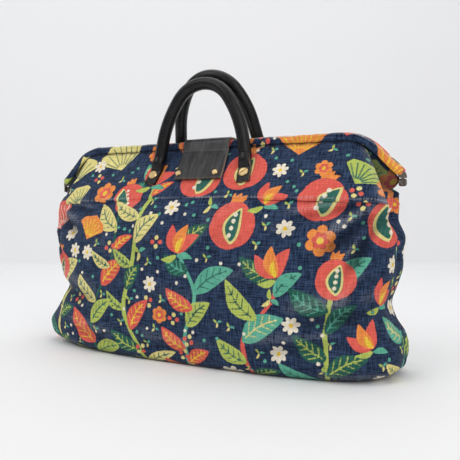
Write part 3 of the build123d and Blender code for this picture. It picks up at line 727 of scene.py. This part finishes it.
bodySettings = {
    "columns": 390, "rowStep": 1.45, "baseRows": 14, "gussetRun": 225, "creaseHeight": 172.5,
    "neckFrom": 178, "neckRun": 14, "neckGap": 3.9, "tuckSpread": 8.5,
    "liningInset": 4.0, "liningFloor": 5.2, "liningStride": 4,
    # height, half length left and right, half depth, squareness left and right, tuck
    "rows": [
        (0.3, 160, 186, 58, 2.6, 3.2, 0), (3.5, 198, 205, 66, 2.7, 3.3, 0),
        (11, 215, 216, 71, 2.7, 3.3, 0), (25, 223, 220, 73, 2.7, 3.2, 2),
        (40, 213, 217, 74.2, 2.7, 3.1, 2), (53, 202, 208, 74.8, 2.8, 3.0, 2),
        (68, 194, 202, 74.8, 2.8, 3.0, 3), (85, 197, 206, 74, 2.8, 3.0, 3),
        (103, 206, 211, 72.5, 2.8, 2.9, 4), (120, 212, 212, 70.5, 2.8, 2.8, 5),
        (136, 215, 214, 66.5, 2.7, 2.8, 7), (152, 218, 207, 60.5, 2.6, 2.7, 11),
        (164, 220, 209, 53.5, 2.5, 2.6, 14), (171.5, 218, 211, 47.6, 2.5, 2.5, 15),
        (175, 216, 212, 43.5, 2.5, 2.5, 15), (181, 214.5, 214.5, 34, 2.5, 2.5, 14),
        (188, 212, 212, 24.5, 2.4, 2.4, 12), (194, 208, 208, 18.5, 2.4, 2.4, 12),
        (202, 200.7, 200.7, 13.5, 2.4, 2.4, 11), (211, 191.7, 191.7, 10.5, 2.4, 2.4, 8),
        (218.5, 184.6, 184.6, 8.6, 2.4, 2.4, 4), (225, 176.0, 176.0, 7.6, 2.4, 2.4, 1.2),
        (229, 166.5, 166.5, 6.2, 2.5, 2.5, 0), (230.1, 158.5, 158.5, 5.4, 2.6, 2.6, 0),
    ],
    # x and z of both ends, width and depth of the folds in the front
    "frontFolds": [
        (203, 162, 148, 116, 7.0, 7.6), (204, 158, 172, 96, 6.0, 6.2),
        (-202, 158, -148, 132, 7.0, 6.8), (-198, 150, -178, 96, 6.0, 5.6),
        (-196, 74, -110, 58, 8.0, 5.0), (198, 66, 120, 52, 8.0, 5.0),
        (-77, 160, -40, 96, 12.0, 2.4), (60, 156, 20, 100, 12.0, 2.0),
        (198, 168, 112, 150, 4.5, 4.2), (190, 138, 176, 108, 4.5, 4.4),
        (-192, 166, -128, 156, 4.5, 3.6), (-206, 132, -190, 108, 4.5, 4.0),
        (-60, 18, 40, 12, 6.0, 2.4), (80, 22, 176, 38, 6.0, 3.4),
        (-160, 26, -80, 14, 6.0, 3.0), (186, 96, 168, 48, 6.0, 3.4),
        (130, 150, 100, 128, 5.0, 2.4), (-120, 110, -60, 84, 9.0, 1.4),
        (100, 92, 40, 70, 9.0, 1.3), (-30, 60, 40, 48, 9.0, 1.2),
    ],
}
bodyRows = np.array(bodySettings["rows"], float)


# Length up the wall to each row, from the rows' heights and their mean step across
def wallRun():
    across = 0.5 * np.hypot(np.diff(bodyRows[:, 1]), np.diff(bodyRows[:, 3]))
    return np.concatenate([[0], np.cumsum(np.hypot(np.diff(bodyRows[:, 0]), across))])


# How far up the flat cloth the panels' lower edge lies
def creaseRun():
    return np.interp(bodySettings["creaseHeight"], bodyRows[:, 0], wallRun())


# Points and flat coordinates of a half shell: superellipse sections, stepped evenly both ways,
# with the ends pulled in by a bell of the depth
def bodyGrid():
    s = bodySettings
    run = wallRun()
    fine = np.append(np.arange(0, run[-1], s["rowStep"]), run[-1])
    angle = np.linspace(0, math.pi, 700)
    cosine, sine = np.cos(angle)[::-1], np.sin(angle)[::-1]
    leftHalf = cosine < 0
    wall, wallA = [], []
    for z, left, right, depth, squareLeft, squareRight, tuck in smoothTable(
            np.column_stack([run, bodyRows]), fine):
        square = np.where(leftHalf, squareLeft, squareRight)
        length = np.where(leftHalf, left, right)
        lift = ramp(z, s["neckFrom"], s["neckRun"])
        inner = s["neckGap"] * lift
        x = signedPower(cosine, 2 / square) * length
        y = inner + (depth - inner) * np.abs(sine) ** (2 / square)
        middle = lift * (inner + 0.55 * (depth - inner))
        spread = s["tuckSpread"] + lift * (max(2.5, 0.3 * (depth - inner)) - s["tuckSpread"])
        pull = tuck * bell(y, middle, spread)
        x = x - np.sign(cosine) * pull * np.clip(np.abs(x) / length * 2 - 1, 0, 1)
        line = np.stack([x, y], -1)
        travelled = runAlong(line)
        even = np.linspace(0, travelled[-1], s["columns"])
        wall.append(np.column_stack([pointsAt(even, travelled, line), np.full(even.shape, z)]))
        wallA.append(even - np.interp(0.0, x[250:450], travelled[250:450]))
    wall, wallA = np.array(wall), np.array(wallA)
    shares = np.linspace(0, 1, s["baseRows"], endpoint=False)[:, None]
    base = np.repeat(wall[:1], s["baseRows"], 0)
    base[..., 1] *= shares
    grid = np.concatenate([base, wall])
    flatA = np.concatenate([np.repeat(wallA[:1], s["baseRows"], 0), wallA])
    flatB = np.concatenate([(shares - 1) * bodyRows[0, 3], fine[:, None]])
    return grid, flatA, np.repeat(flatB, s["columns"], 1)


# How far a wall point faces sideways: the sixth power of its share of the run to the gusset
def sidewaysShare(x, flatA):
    return np.sign(x) * ramp(np.abs(flatA), 0, bodySettings["gussetRun"]) ** 6


# A fold: its depth times a bell of the distance from its line, dying out at both ends
def foldBell(x, z, start, end, width, depth):
    dx, dz = end[0] - start[0], end[1] - start[1]
    length = math.hypot(dx, dz)
    along = ((x - start[0]) * dx + (z - start[1]) * dz) / length ** 2
    across = ((x - start[0]) * dz - (z - start[1]) * dx) / length
    reach = np.clip(np.minimum(along, 1 - along) * 3 + 0.25, 0, 1)
    beyond = np.maximum(0, np.maximum(-along, along - 1)) * length
    return depth * reach * bell(across, 0, width) * bell(beyond, 0, width)


# Moves the wall in and out: slow swells, puckers under the crease and folds at the pinches
def foldBody(grid, flatA, side):
    x, y, z = grid[..., 0], grid[..., 1], grid[..., 2]
    wall = ramp(z, 0, 14) * ramp(175 - z, 0, 9)  # nothing moves at the base or behind the panels
    swell = (1.5 * np.sin(x / 47 + 1.1 * side) * np.sin(z / 38 + 0.6)
             + 1.0 * np.sin(x / 23 + z / 31 + side) + 0.6 * np.sin(x / 11 - z / 17))
    pucker = 0.8 * bell(z, 158, 16) * np.sin(flatA / 5.5 + 1.5 * np.sin(flatA / 37))
    hem = 0.7 * bell(z, 10, 10) * np.sin(flatA / 8.0 + 2 * np.sin(flatA / 41))
    folds = np.zeros_like(x)
    for x0, z0, x1, z1, width, depth in bodySettings["frontFolds"]:
        if side > 0:  # the back has them turned over and leaning a little differently
            x0, z0, x1, z1 = -x0 * 0.94, z0 + 5, -x1 * 0.9, z1 - 4
        for drop, share in ((0, 1), (1.9 * width, -0.55)):  # the fold, then the roll beside it
            folds += share * foldBell(x, z - drop, (x0, z0), (x1, z1), width, depth)
    move = wall * (swell + pucker + hem - folds - 1.2) * ramp(y, 0, 6)
    outX = sidewaysShare(x, flatA)
    out = grid.copy()
    out[..., 0] += move * outX
    out[..., 1] = np.maximum(y + move * np.sqrt(np.maximum(0, 1 - outX ** 2)), 0)
    return out, folds * wall


# The folded half shell in printed cloth, and the lining: the same shell moved in by its inset
def makeBody(side, name):
    s = bodySettings
    grid, flatA, flatB = bodyGrid()
    grid, folds = foldBody(grid, flatA, side)
    x, y, z = grid[..., 0], grid[..., 1], grid[..., 2]
    mirrored = np.array([1, side, 1])
    piece = meshFromArrays(f"{name}_cloth", grid * mirrored, gridFaces(*flatA.shape, flip=side > 0),
                           printedCloth)
    addUv(piece, -side * flatA, flatB)
    addPrint(piece, -side * flatA, flatB, side)
    pocket = ramp(z, 170, 12) * ramp(24 - y, 0, 8)  # shade between the panels and the frame
    # Painted shade between the panels and the frame and in the folds, and a darker band along the
    # foot
    paintedShade = 0.78 * pocket + 0.35 * bell(z, 2, 3) + 0.55 * ramp(folds, 0, 6) ** 1.3
    addFloat(piece, "paintedShade", np.clip(paintedShade, 0, 0.9))
    # Pale wear at the base corners, and paler fold crests, painted highlight with wear
    addFloat(piece, "wearAndHighlight", 0.14 * bell(z, 6, 4) * (np.abs(x) > 150) + 0.20 * ramp(-folds, 0, 3))
    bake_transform(piece)
    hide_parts(f"{name}_body_cloth", "left_gusset", "right_gusset", "base_cloth")
    every = (slice(None, None, s["liningStride"]), slice(None, None, s["liningStride"]))
    outX = sidewaysShare(x[every], flatA[every])
    inner = grid[every].copy()
    inner[..., 0] -= s["liningInset"] * outX
    inner[..., 1] = np.maximum(0, inner[..., 1] - s["liningInset"] * np.sqrt(1 - outX ** 2))
    inner[..., 2] = np.maximum(inner[..., 2], s["liningFloor"])
    lining = meshFromArrays(f"{name}_lining", inner * mirrored,
                            gridFaces(*outX.shape, flip=side < 0), liningCloth)
    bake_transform(lining)
    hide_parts("bag_lining")


# Shoulder panels: a skin over the stiff board, rolled in at its foot and ends

panelSettings = {"columns": 320, "rows": 62, "proud": 0.7, "topHalf": 179.0, "footHalf": 205.0,
                 "edgeFrom": 0.955, "edgeRoll": 3.2, "footFrom": 0.95, "footRoll": 1.9}


# The panel's face, lifted square to it by its pad, waves, puckers and a ridge above the foot
def makePanel(side, name):
    s = panelSettings
    across, depth = np.meshgrid(np.linspace(-1, 1, s["columns"]), np.linspace(0, 1, s["rows"]))
    topX, footX = across * s["topHalf"], across * s["footHalf"]
    x = topX + (footX - topX) * depth
    headZ = casingUnderside(topX) - seamGap
    z = headZ + (panelFoot(footX) - headZ) * depth
    y = panelSurface(x, z)
    edge = ramp(np.abs(across), s["edgeFrom"], 1 - s["edgeFrom"])
    wave = (0.35 * np.sin(x / 19 + 0.7 * side) * np.sin(math.pi * depth)
            + 0.5 * bell(depth, 0.02, 0.10) * np.sin(x / 3.1 + np.sin(x / 17)))
    ends = 2.4 * np.sin(x / 9.0 + z / 6.5) * ramp(np.abs(x), 150, 45) * np.sin(math.pi * depth)
    ridge = 0.45 * bell(depth, 0.94, 0.05) * (1 + 0.6 * np.sin(x / 17))
    lift = s["proud"] + wave * (1 - edge) + 0.45 * ends + ridge - s["edgeRoll"] * edge ** 2
    lift -= s["footRoll"] * ramp(depth, s["footFrom"], 1 - s["footFrom"]) ** 2
    y = y + lift * math.cos(panelTilt)
    z = z + lift * math.sin(panelTilt)
    piece = meshFromArrays(f"{name}_shoulder_cloth", np.stack([x, side * y, z], -1),
                           gridFaces(s["rows"], s["columns"], flip=side < 0), printedCloth)
    flatB = creaseRun() + (1 - depth) * panelLength
    addUv(piece, x, flatB)
    addPrint(piece, -side * x, flatB, side)
    # Paler in patches along the ridge above the foot, painted highlight with wear, and at the
    # rolled ends, wear; painted shade along the top under the casing
    patches = np.clip(0.45 + 0.5 * np.sin(x / 13) * np.sin(x / 31 + 1), 0, 1)
    rubbed = bell(depth, 0.965, 0.014) * patches
    addFloat(piece, "wearAndHighlight", np.clip(0.42 * rubbed + 0.25 * edge, 0, 1))
    addFloat(piece, "paintedShade", 0.8 * bell(depth, 0, 0.035))
    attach(piece, f"{name}_panel")
    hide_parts(f"{name}_shoulder")


# Casings: the cloth tubes round the frame's bars

casingSettings = {"around": 40, "step": 1.5, "rounding": 0.62, "flatTop": 262, "flatAround": 4.2}


# Points along a frame half from the left end to the right end, and their runs from its middle:
# a level top, then on each side a corner arc, a straight leg and an arc round the hinge
def framePoints(step):
    startZ = barEndHeight + endRadius * rootHalf
    legFootX = hingeHalfSpan - endRadius * (1 - rootHalf)
    legHeadZ = barHeight - cornerRadius * (1 - rootHalf)
    legHeadX = legFootX - (legHeadZ - startZ)
    half = [(flatHalf * t, barHeight) for t in np.linspace(0, 1, 90)]
    half += [(flatHalf + cornerRadius * math.sin(t), barHeight - cornerRadius * (1 - math.cos(t)))
             for t in np.linspace(0.01, math.pi / 4, 30)]
    half += [(legHeadX + (legFootX - legHeadX) * t, legHeadZ + (startZ - legHeadZ) * t)
             for t in np.linspace(0.03, 1, 26)]
    endX = hingeHalfSpan - endRadius
    half += [(endX + endRadius * math.cos(t), barEndHeight + endRadius * math.sin(t))
             for t in np.linspace(math.pi / 4, 0.35, 8)[1:]]
    right = np.array(half)
    line = np.concatenate([right[::-1][:-1] * np.array([-1, 1]), right])
    travelled = runAlong(line)
    even = np.arange(0, travelled[-1], step)
    return pointsAt(even, travelled, line), even - travelled[-1] / 2


# A rounded box section carried along the frame half, puckered, pinched at its seam and
# tapered at both ends
def makeCasing(side, name):
    s = casingSettings
    points, run = framePoints(s["step"])
    direction = directionAlong(points)
    outward = np.stack([-direction[:, 1], direction[:, 0]], -1)
    turn = np.linspace(0, 2 * math.pi, s["around"], endpoint=False)
    across, along = np.meshgrid(turn, np.arange(len(points)))
    runs = run[along]
    seamTurn = 1.5 * math.pi
    pucker = (1 + 0.035 * np.sin(runs / 3.3 + 1.2 * np.sin(runs / 19))
              + 0.03 * np.sin(runs / 12 + across))
    taper = np.clip((np.abs(run[-1]) + 1 - np.abs(runs)) / 4, 0.45, 1)
    sectionY = casingWidth / 2 * signedPower(np.cos(across), s["rounding"]) * pucker * taper
    sectionZ = (casingDepth / 2 * signedPower(np.sin(across), s["rounding"]) * pucker
                * (1 - 0.10 * bell(across, seamTurn, 0.35)) * taper)
    grid = np.stack([points[along, 0] + outward[along, 0] * sectionZ, side * halfOffset + sectionY,
                     points[along, 1] + outward[along, 1] * sectionZ], -1)
    piece = meshFromArrays(f"{name}_casing_cloth", grid,
                           gridFaces(len(points), s["around"], closed=True), printedCloth)
    addUv(piece, runs, s["flatTop"] + (across - math.pi) * s["flatAround"])
    overTop = across if side > 0 else math.pi - across
    addPrint(piece, -side * runs, creaseRun() + panelLength + 2 + 4.0 * overTop, side)
    # Paler along the outer upper ridge, painted highlight with wear, and painted shade on the
    # underside at the seam
    ridgeTurn = (0.72 if side < 0 else 0.28) * math.pi
    patches = 0.55 + 0.45 * np.sin(runs / 21) * np.sin(runs / 8.3)
    addFloat(piece, "wearAndHighlight", np.clip(bell(angleFrom(across, ridgeTurn), 0, 0.28) * patches, 0, 1))
    addFloat(piece, "paintedShade", 0.75 * bell(across, seamTurn, 0.5))
    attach(piece, f"{name}_frame")
    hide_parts(f"{name}_casing")


# Handles: a leather roll whose ends flatten into feet under the screws

handleSettings = {
    "around": 36, "steps": 130, "radius": 7.0, "halfSpacing": 57.0, "screwDown": 38.5,
    "footTurn": math.radians(8.0), "footWidth": 14.5, "footThick": 4.0, "footLift": 0.15,
    "below": 11.0, "above": 8.0, "neck": 7.0, "gap": 0.3,
    "crown": 38.0, "crownTurn": math.radians(55.0), "legTurn": math.radians(80.0),
    "apex": {"front": (-18.0, 300.0), "back": (-5.5, 310.5)},
    "startFlat": 0.08, "seamTurn": 0.5 * math.pi, "beadTurn": 0.18,
}


# The right foot's screw and the foot's axes: along it and square to the panel
def footAxes(side):
    s = handleSettings
    y = panelTopY + s["screwDown"] * math.sin(panelTilt) + s["footLift"] * math.cos(panelTilt)
    z = panelTop - s["screwDown"] * math.cos(panelTilt) + s["footLift"] * math.sin(panelTilt)
    normal = np.array([0, side * math.cos(panelTilt), math.sin(panelTilt)])
    plainX = np.array([-side, 0, 0.0])
    plainY = np.cross(normal, plainX)
    turn = -side * s["footTurn"]
    return (np.array([s["halfSpacing"], side * y, z]),
            -plainX * math.sin(turn) + plainY * math.cos(turn), normal)


# Centre line of the roll from its right pivot to the apex: leg, side arc and crown arc
def archPoints(side, apex):
    s = handleSettings
    screw, footUp, normal = footAxes(side)
    rise = s["above"] + s["neck"] + s["gap"] + s["radius"]
    pivot = screw + footUp * rise + normal * (s["radius"] + s["gap"])
    height = math.hypot(apex[0] - pivot[1], apex[1] - pivot[2])
    up = np.array([0, apex[0] - pivot[1], apex[1] - pivot[2]]) / height
    leg, crown = s["legTurn"], s["crownTurn"]
    crownX = s["crown"] * math.sin(crown)
    crownDrop = s["crown"] * (1 - math.cos(crown))
    sideRadius = (pivot[0] - crownX - (height - crownDrop) / math.tan(leg)) / (
        math.sin(leg) - math.sin(crown) - (math.cos(crown) - math.cos(leg)) / math.tan(leg))
    centreZ = height - s["crown"]
    sideX = crownX - sideRadius * math.sin(crown)
    sideZ = centreZ + (s["crown"] - sideRadius) * math.cos(crown)
    low = (sideX + sideRadius * math.sin(leg), sideZ + sideRadius * math.cos(leg))
    line = [(pivot[0] + (low[0] - pivot[0]) * t, low[1] * t) for t in np.linspace(0, 1, 16)]
    line += [(sideX + sideRadius * math.sin(t), sideZ + sideRadius * math.cos(t))
             for t in np.linspace(leg, crown, 18)[1:]]
    line += [(s["crown"] * math.sin(t), centreZ + s["crown"] * math.cos(t))
             for t in np.linspace(crown, 0, 20)[1:]]
    line = np.array(line)
    half = np.stack([line[:, 0], pivot[1] + up[1] * line[:, 1], pivot[2] + up[2] * line[:, 1]], -1)
    return half, pivot, up


# The whole path from foot to foot, with how flat the leather lies at each point
def handlePath(side, half):
    s = handleSettings
    screw, footUp, normal = footAxes(side)
    below, above = s["below"], s["above"]
    # Along the foot from its end to the neck: place from the screw, height and flatness
    stops = np.array([(-below, 2.0, 1), (1.5 - below, 2.0, 1), (-4.0, 2.0, 1), (2.0, 2.1, 1),
                      (above, 2.6, 0.86), (above + 2.5, 3.8, 0.55), (above + 6.0, 5.6, 0.22)])
    foot = screw + stops[:, :1] * footUp + stops[:, 1:2] * normal
    start = half[0] - 0.35 * (half[0] - foot[-1])
    chain = np.concatenate([foot, [start], half])
    flat = np.concatenate([stops[:, 2], [s["startFlat"]], np.zeros(len(half))])
    travelled = runAlong(chain)
    right = smoothTable(np.column_stack([travelled, chain, flat]),
                        np.linspace(0, travelled[-1], s["steps"]))
    path = np.concatenate([right, right[::-1][1:] * np.array([-1, 1, 1, 1])])
    return path[:, :3], np.clip(path[:, 3], 0, 1)


# A section between a circle and a rounded box, by its flatness, carried along the path
def makeHandle(side, name):
    s = handleSettings
    half, pivot, up = archPoints(side, s["apex"][name])
    screw, footUp, normal = footAxes(side)
    path, flatness = handlePath(side, half)
    direction = directionAlong(path)
    archNormal = np.array([0, side * up[2], -side * up[1]])
    facing = archNormal * (1 - flatness[:, None]) + normal * flatness[:, None]
    facing -= direction * np.sum(facing * direction, axis=1)[:, None]
    facing /= np.linalg.norm(facing, axis=1)[:, None]
    wide = np.cross(direction, facing)
    turn = np.linspace(0, 2 * math.pi, s["around"], endpoint=False)
    across, along = np.meshgrid(turn, np.arange(len(path)))
    f = flatness[along]
    power = 1 - 0.62 * f
    halfWide = s["radius"] * (1 - f) + s["footWidth"] / 2 * f
    halfThick = s["radius"] * (1 - f) + s["footThick"] / 2 * f
    # The front roll shows its seam: two beads with a stitched valley between
    seamShown = 1 if side < 0 else 0
    bead = (bell(across, s["seamTurn"] - s["beadTurn"], 0.16)
            + bell(across, s["seamTurn"] + s["beadTurn"], 0.16))
    valley = bell(across, s["seamTurn"], 0.09)
    stitched = 0.5 + 0.5 * np.cos(along * 1.9)
    pressed = 1 + seamShown * (0.055 * bead - 0.05 * valley * (0.6 + 0.4 * stitched)) * (1 - f)
    gather = 1 + 0.05 * np.sin(9 * across) * bell(f, 0.45, 0.25)
    nudge = 0.075 * np.sin(along / 9.0 + 2 * side) * (1 - f)
    sectionW = halfWide * signedPower(np.cos(across), power) * gather
    sectionN = halfThick * signedPower(np.sin(across), power) * pressed * gather + nudge
    grid = path[along] + wide[along] * sectionW[..., None] + facing[along] * sectionN[..., None]
    points = np.concatenate([grid.reshape(-1, 3), path[:1], path[-1:]])
    ring = np.arange(s["around"])
    nextRing = (ring + 1) % s["around"]
    lastRing = grid.shape[0] * s["around"] - s["around"]
    middles = np.full((2, s["around"]), [[len(points) - 2], [len(points) - 1]])
    capStart = np.stack([middles[0], nextRing, ring], -1)
    capEnd = np.stack([middles[1], lastRing + ring, lastRing + nextRing], -1)
    faces = gridFaces(len(path), s["around"], closed=True)
    piece = meshFromArrays(f"{name}_handle", points,
                           np.concatenate(halved(faces) + [capStart, capEnd]), handleLeather)
    outerEdge = bell(angleFrom(across, 0.12 * math.pi), 0, 0.13) * np.clip(f * 1.6 + 0.12, 0, 1)
    raw = np.concatenate([outerEdge.ravel() * seamShown, [0.6, 0.6]])
    addFloat(piece, "rawEdge", 0.8 * raw)
    stitchLine = valley * (1 - f) * (0.5 + 0.5 * (stitched > 0.35)) * seamShown
    addFloat(piece, "crease", np.concatenate([stitchLine.ravel(), [0, 0]]))
    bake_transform(piece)
    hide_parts(f"{name}_handle_cover", f"{name}_handle_feet")


# Closure tab: a leather strap over the frame, cut square, with one raw edge

tabSettings = {
    "width": 59.0, "thick": 2.4, "inner": 8.4, "under": 239.4, "root": 230.8, "standoff": 2.5,
    "length": 45.0, "steps": 76, "acrossCount": 60, "skewTop": -0.6, "skewFoot": 2.6,
    "bends": [5.0, 5.0, 8.0], "bendSteps": 12, "centreZ": 225, "edgeFrom": 0.955, "creaseAt": -0.90,
}


# A point off the front panel in side view
def panelSide(down, outward):
    y = panelTopY + down * math.sin(panelTilt) + outward * math.cos(panelTilt)
    return (-y, panelTop - down * math.cos(panelTilt) + outward * math.sin(panelTilt))


# A line through the corners, each corner rounded by an arc of its radius
def roundedLine(corners, radii, steps):
    corners = [np.array(c, float) for c in corners]
    points = [corners[0]]
    for before, corner, after, radius in zip(corners, corners[1:], corners[2:], radii):
        a = (before - corner) / np.linalg.norm(before - corner)
        b = (after - corner) / np.linalg.norm(after - corner)
        half = math.acos(np.clip(a @ b, -1, 1)) / 2
        reach = radius / math.tan(half)
        centre = corner + (a + b) / np.linalg.norm(a + b) * radius / math.sin(half)
        first, last = corner + a * reach, corner + b * reach
        for t in np.linspace(0, 1, steps):
            way = (first - centre) * (1 - t) + (last - centre) * t
            points.append(centre + way / np.linalg.norm(way) * radius)
    points.append(corners[-1])
    return np.array(points)


# A flat section, its upper face hollowed and creased along one side, carried over the frame
def makeTab():
    s = tabSettings
    count = s["acrossCount"]
    corners = [(s["inner"], s["root"]), (s["inner"], s["under"]), (-s["inner"], s["under"]),
               panelSide(6.0, s["standoff"]), panelSide(s["length"], s["standoff"])]
    line = roundedLine(corners, s["bends"], s["bendSteps"])
    travelled = runAlong(line)
    even = np.linspace(0, travelled[-1], s["steps"])
    middle = pointsAt(even, travelled, line)
    direction = directionAlong(middle)
    outward = np.stack([-direction[:, 1], direction[:, 0]], -1)
    outward *= np.sign(np.sum(outward * (middle - np.array([0, s["centreZ"]])), axis=1))[:, None]
    widths = np.concatenate([np.linspace(-1, 1, count), np.linspace(1, -1, count)])
    upper = np.concatenate([np.ones(count), np.zeros(count)])
    edge = ramp(np.abs(widths), s["edgeFrom"], 1 - s["edgeFrom"])
    thick = s["thick"] * np.where(upper > 0, 1 - 0.30 * edge ** 2, 0.18 * edge ** 2)
    w, i = np.meshgrid(widths, np.arange(len(middle)))
    down = (even / even[-1])[i]
    hollow = (0.35 * np.sin(3.0 * w + 4 * down) * np.sin(math.pi * down)
              - 0.25 * np.cos(math.pi * w / 2) ** 2)
    pressed = bell(w, s["creaseAt"], 0.012) * upper
    t = thick + (hollow - 0.35 * pressed) * upper
    skew = s["skewTop"] + (s["skewFoot"] - s["skewTop"]) * np.clip(2 * down - 0.8, 0, 1)
    x = w * s["width"] / 2 * (1 - 0.012 * np.sin(math.pi * down)) + skew
    grid = np.stack([x, middle[i, 0] + outward[i, 0] * t, middle[i, 1] + outward[i, 1] * t], -1)
    rows, columns = w.shape
    triangles = halved(gridFaces(rows, columns, closed=True))
    for row, flip in ((0, False), (rows - 1, True)):
        top = row * columns + np.arange(count - 1)
        bottom = (2 * row + 1) * columns - 1 - top
        quad = np.stack([top, bottom, bottom - 1, top + 1], -1)
        triangles += halved(quad[:, ::-1] if flip else quad)
    piece = meshFromArrays("tab", grid, np.concatenate(triangles), tabLeather)
    recalculateNormals(piece)
    raw = ramp(w, 0.965, 0.02) + 0.25 * ramp(down, 0.985, 0.01)
    addFloat(piece, "rawEdge", np.clip(raw, 0, 1))
    addFloat(piece, "crease", 0.8 * pressed)
    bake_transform(piece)
    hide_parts("closure_tab")


for side, name in ((-1, "front"), (1, "back")):
    makeBody(side, name)
    makePanel(side, name)
    makeCasing(side, name)
    makeHandle(side, name)
    print(name, "half made")
makeTab()
print("tab made")

# Finishes of the solids that show as they are

nodeFinish = {"base_board": board, "front_stiffener": board, "back_stiffener": board,
              "front_handle_core": coreCloth, "back_handle_core": coreCloth,
              "bag_lining": liningCloth}
for node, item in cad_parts.items():
    if node in nodeFinish:
        finish = nodeFinish[node]
    elif "screw" in node or node.endswith("stud_cap"):
        finish = brass
    elif "casing" in node or "shoulder" in node or "gusset" in node or node.endswith("_cloth"):
        finish = printedCloth
    elif "handle" in node or node == "closure_tab":
        finish = handleLeather
    else:
        finish = steel
    item.data.materials.clear()
    item.data.materials.append(finish)
print("solids finished")

# Stage, lamps and camera, in metres

cameraSettings = {"place": (0.3520, -0.6043, 0.1602), "turn": math.radians(28.5),
                  "drop": math.radians(1.73), "focal": 620.0, "frameWidth": 460.0, "sensor": 36.0}
stageSettings = {"colour": (0.91, 0.91, 0.913, 1), "roughness": 0.8, "halfWidth": 4.0,
                 "wallAway": 1.80, "nearAway": -3.0, "wallHeight": 3.2}
lampSettings = {
    "keyLamp": {"spot": (-0.9, -1.5, 1.9), "size": 1.6, "power": 17.0, "towards": (0, 0, 0.12)},
    "fillLamp": {"spot": (1.6, -1.1, 1.3), "size": 1.6, "power": 13.0, "towards": (0, 0, 0.12)},
    "topLamp": {"spot": (0.1, 0.3, 2.2), "size": 2.0, "power": 16.0, "towards": (0, 0, 0.1)},
}
worldSettings = {"colour": (0.92, 0.93, 0.95, 1), "strength": 0.43}


# A floor that turns up into a wall, square to the camera's view
def makeStage():
    s = stageSettings
    turn = cameraSettings["turn"]
    forward = np.array([-math.sin(turn), math.cos(turn)])
    sideways = np.array([math.cos(turn), math.sin(turn)])
    start = np.array(cameraSettings["place"][:2])
    wall = s["wallAway"]
    profile = [(s["nearAway"], 0.0), (wall - 0.012, 0.0), (wall - 0.004, 0.002), (wall, 0.009),
               (wall, s["wallHeight"])]
    points = []
    for away, height in profile:
        for reach in (-s["halfWidth"], s["halfWidth"]):
            spot = start + forward * away + sideways * reach
            points.append((spot[0] / millimetre, spot[1] / millimetre, height / millimetre))
    material = newMaterial("paleStudio", Base_Color=s["colour"], Roughness=s["roughness"])[0]
    stage = meshFromArrays("studioFloor", points, gridFaces(len(profile), 2, flip=True), material,
                           smooth=False)


def addObject(name, data, spot, look):
    item = bpy.data.objects.new(name, data)
    item.location = spot
    item.rotation_euler = look.to_track_quat("-Z", "Y").to_euler()
    bpy.context.scene.collection.objects.link(item)
    return item


def makeLamp(name, spot, size, power, towards):
    data = bpy.data.lights.new(name, "AREA")
    data.shape = "RECTANGLE"
    data.size = size
    data.size_y = size
    data.energy = power
    addObject(name, data, spot, Vector(towards) - Vector(spot))


def makeCamera():
    s = cameraSettings
    data = bpy.data.cameras.new("camera")
    data.sensor_width = s["sensor"]
    data.lens = s["focal"] / s["frameWidth"] * s["sensor"]
    look = Vector((-math.sin(s["turn"]) * math.cos(s["drop"]),
                   math.cos(s["turn"]) * math.cos(s["drop"]), -math.sin(s["drop"])))
    bpy.context.scene.camera = addObject("camera", data, s["place"], look)


makeStage()
for name, values in lampSettings.items():
    makeLamp(name, **values)
world = bpy.data.worlds.new("studio")
world.use_nodes = True
world.node_tree.nodes["Background"].inputs[0].default_value = worldSettings["colour"]
world.node_tree.nodes["Background"].inputs[1].default_value = worldSettings["strength"]
bpy.context.scene.world = world
makeCamera()
bpy.context.scene.view_settings.view_transform = "Standard"
print("stage made")
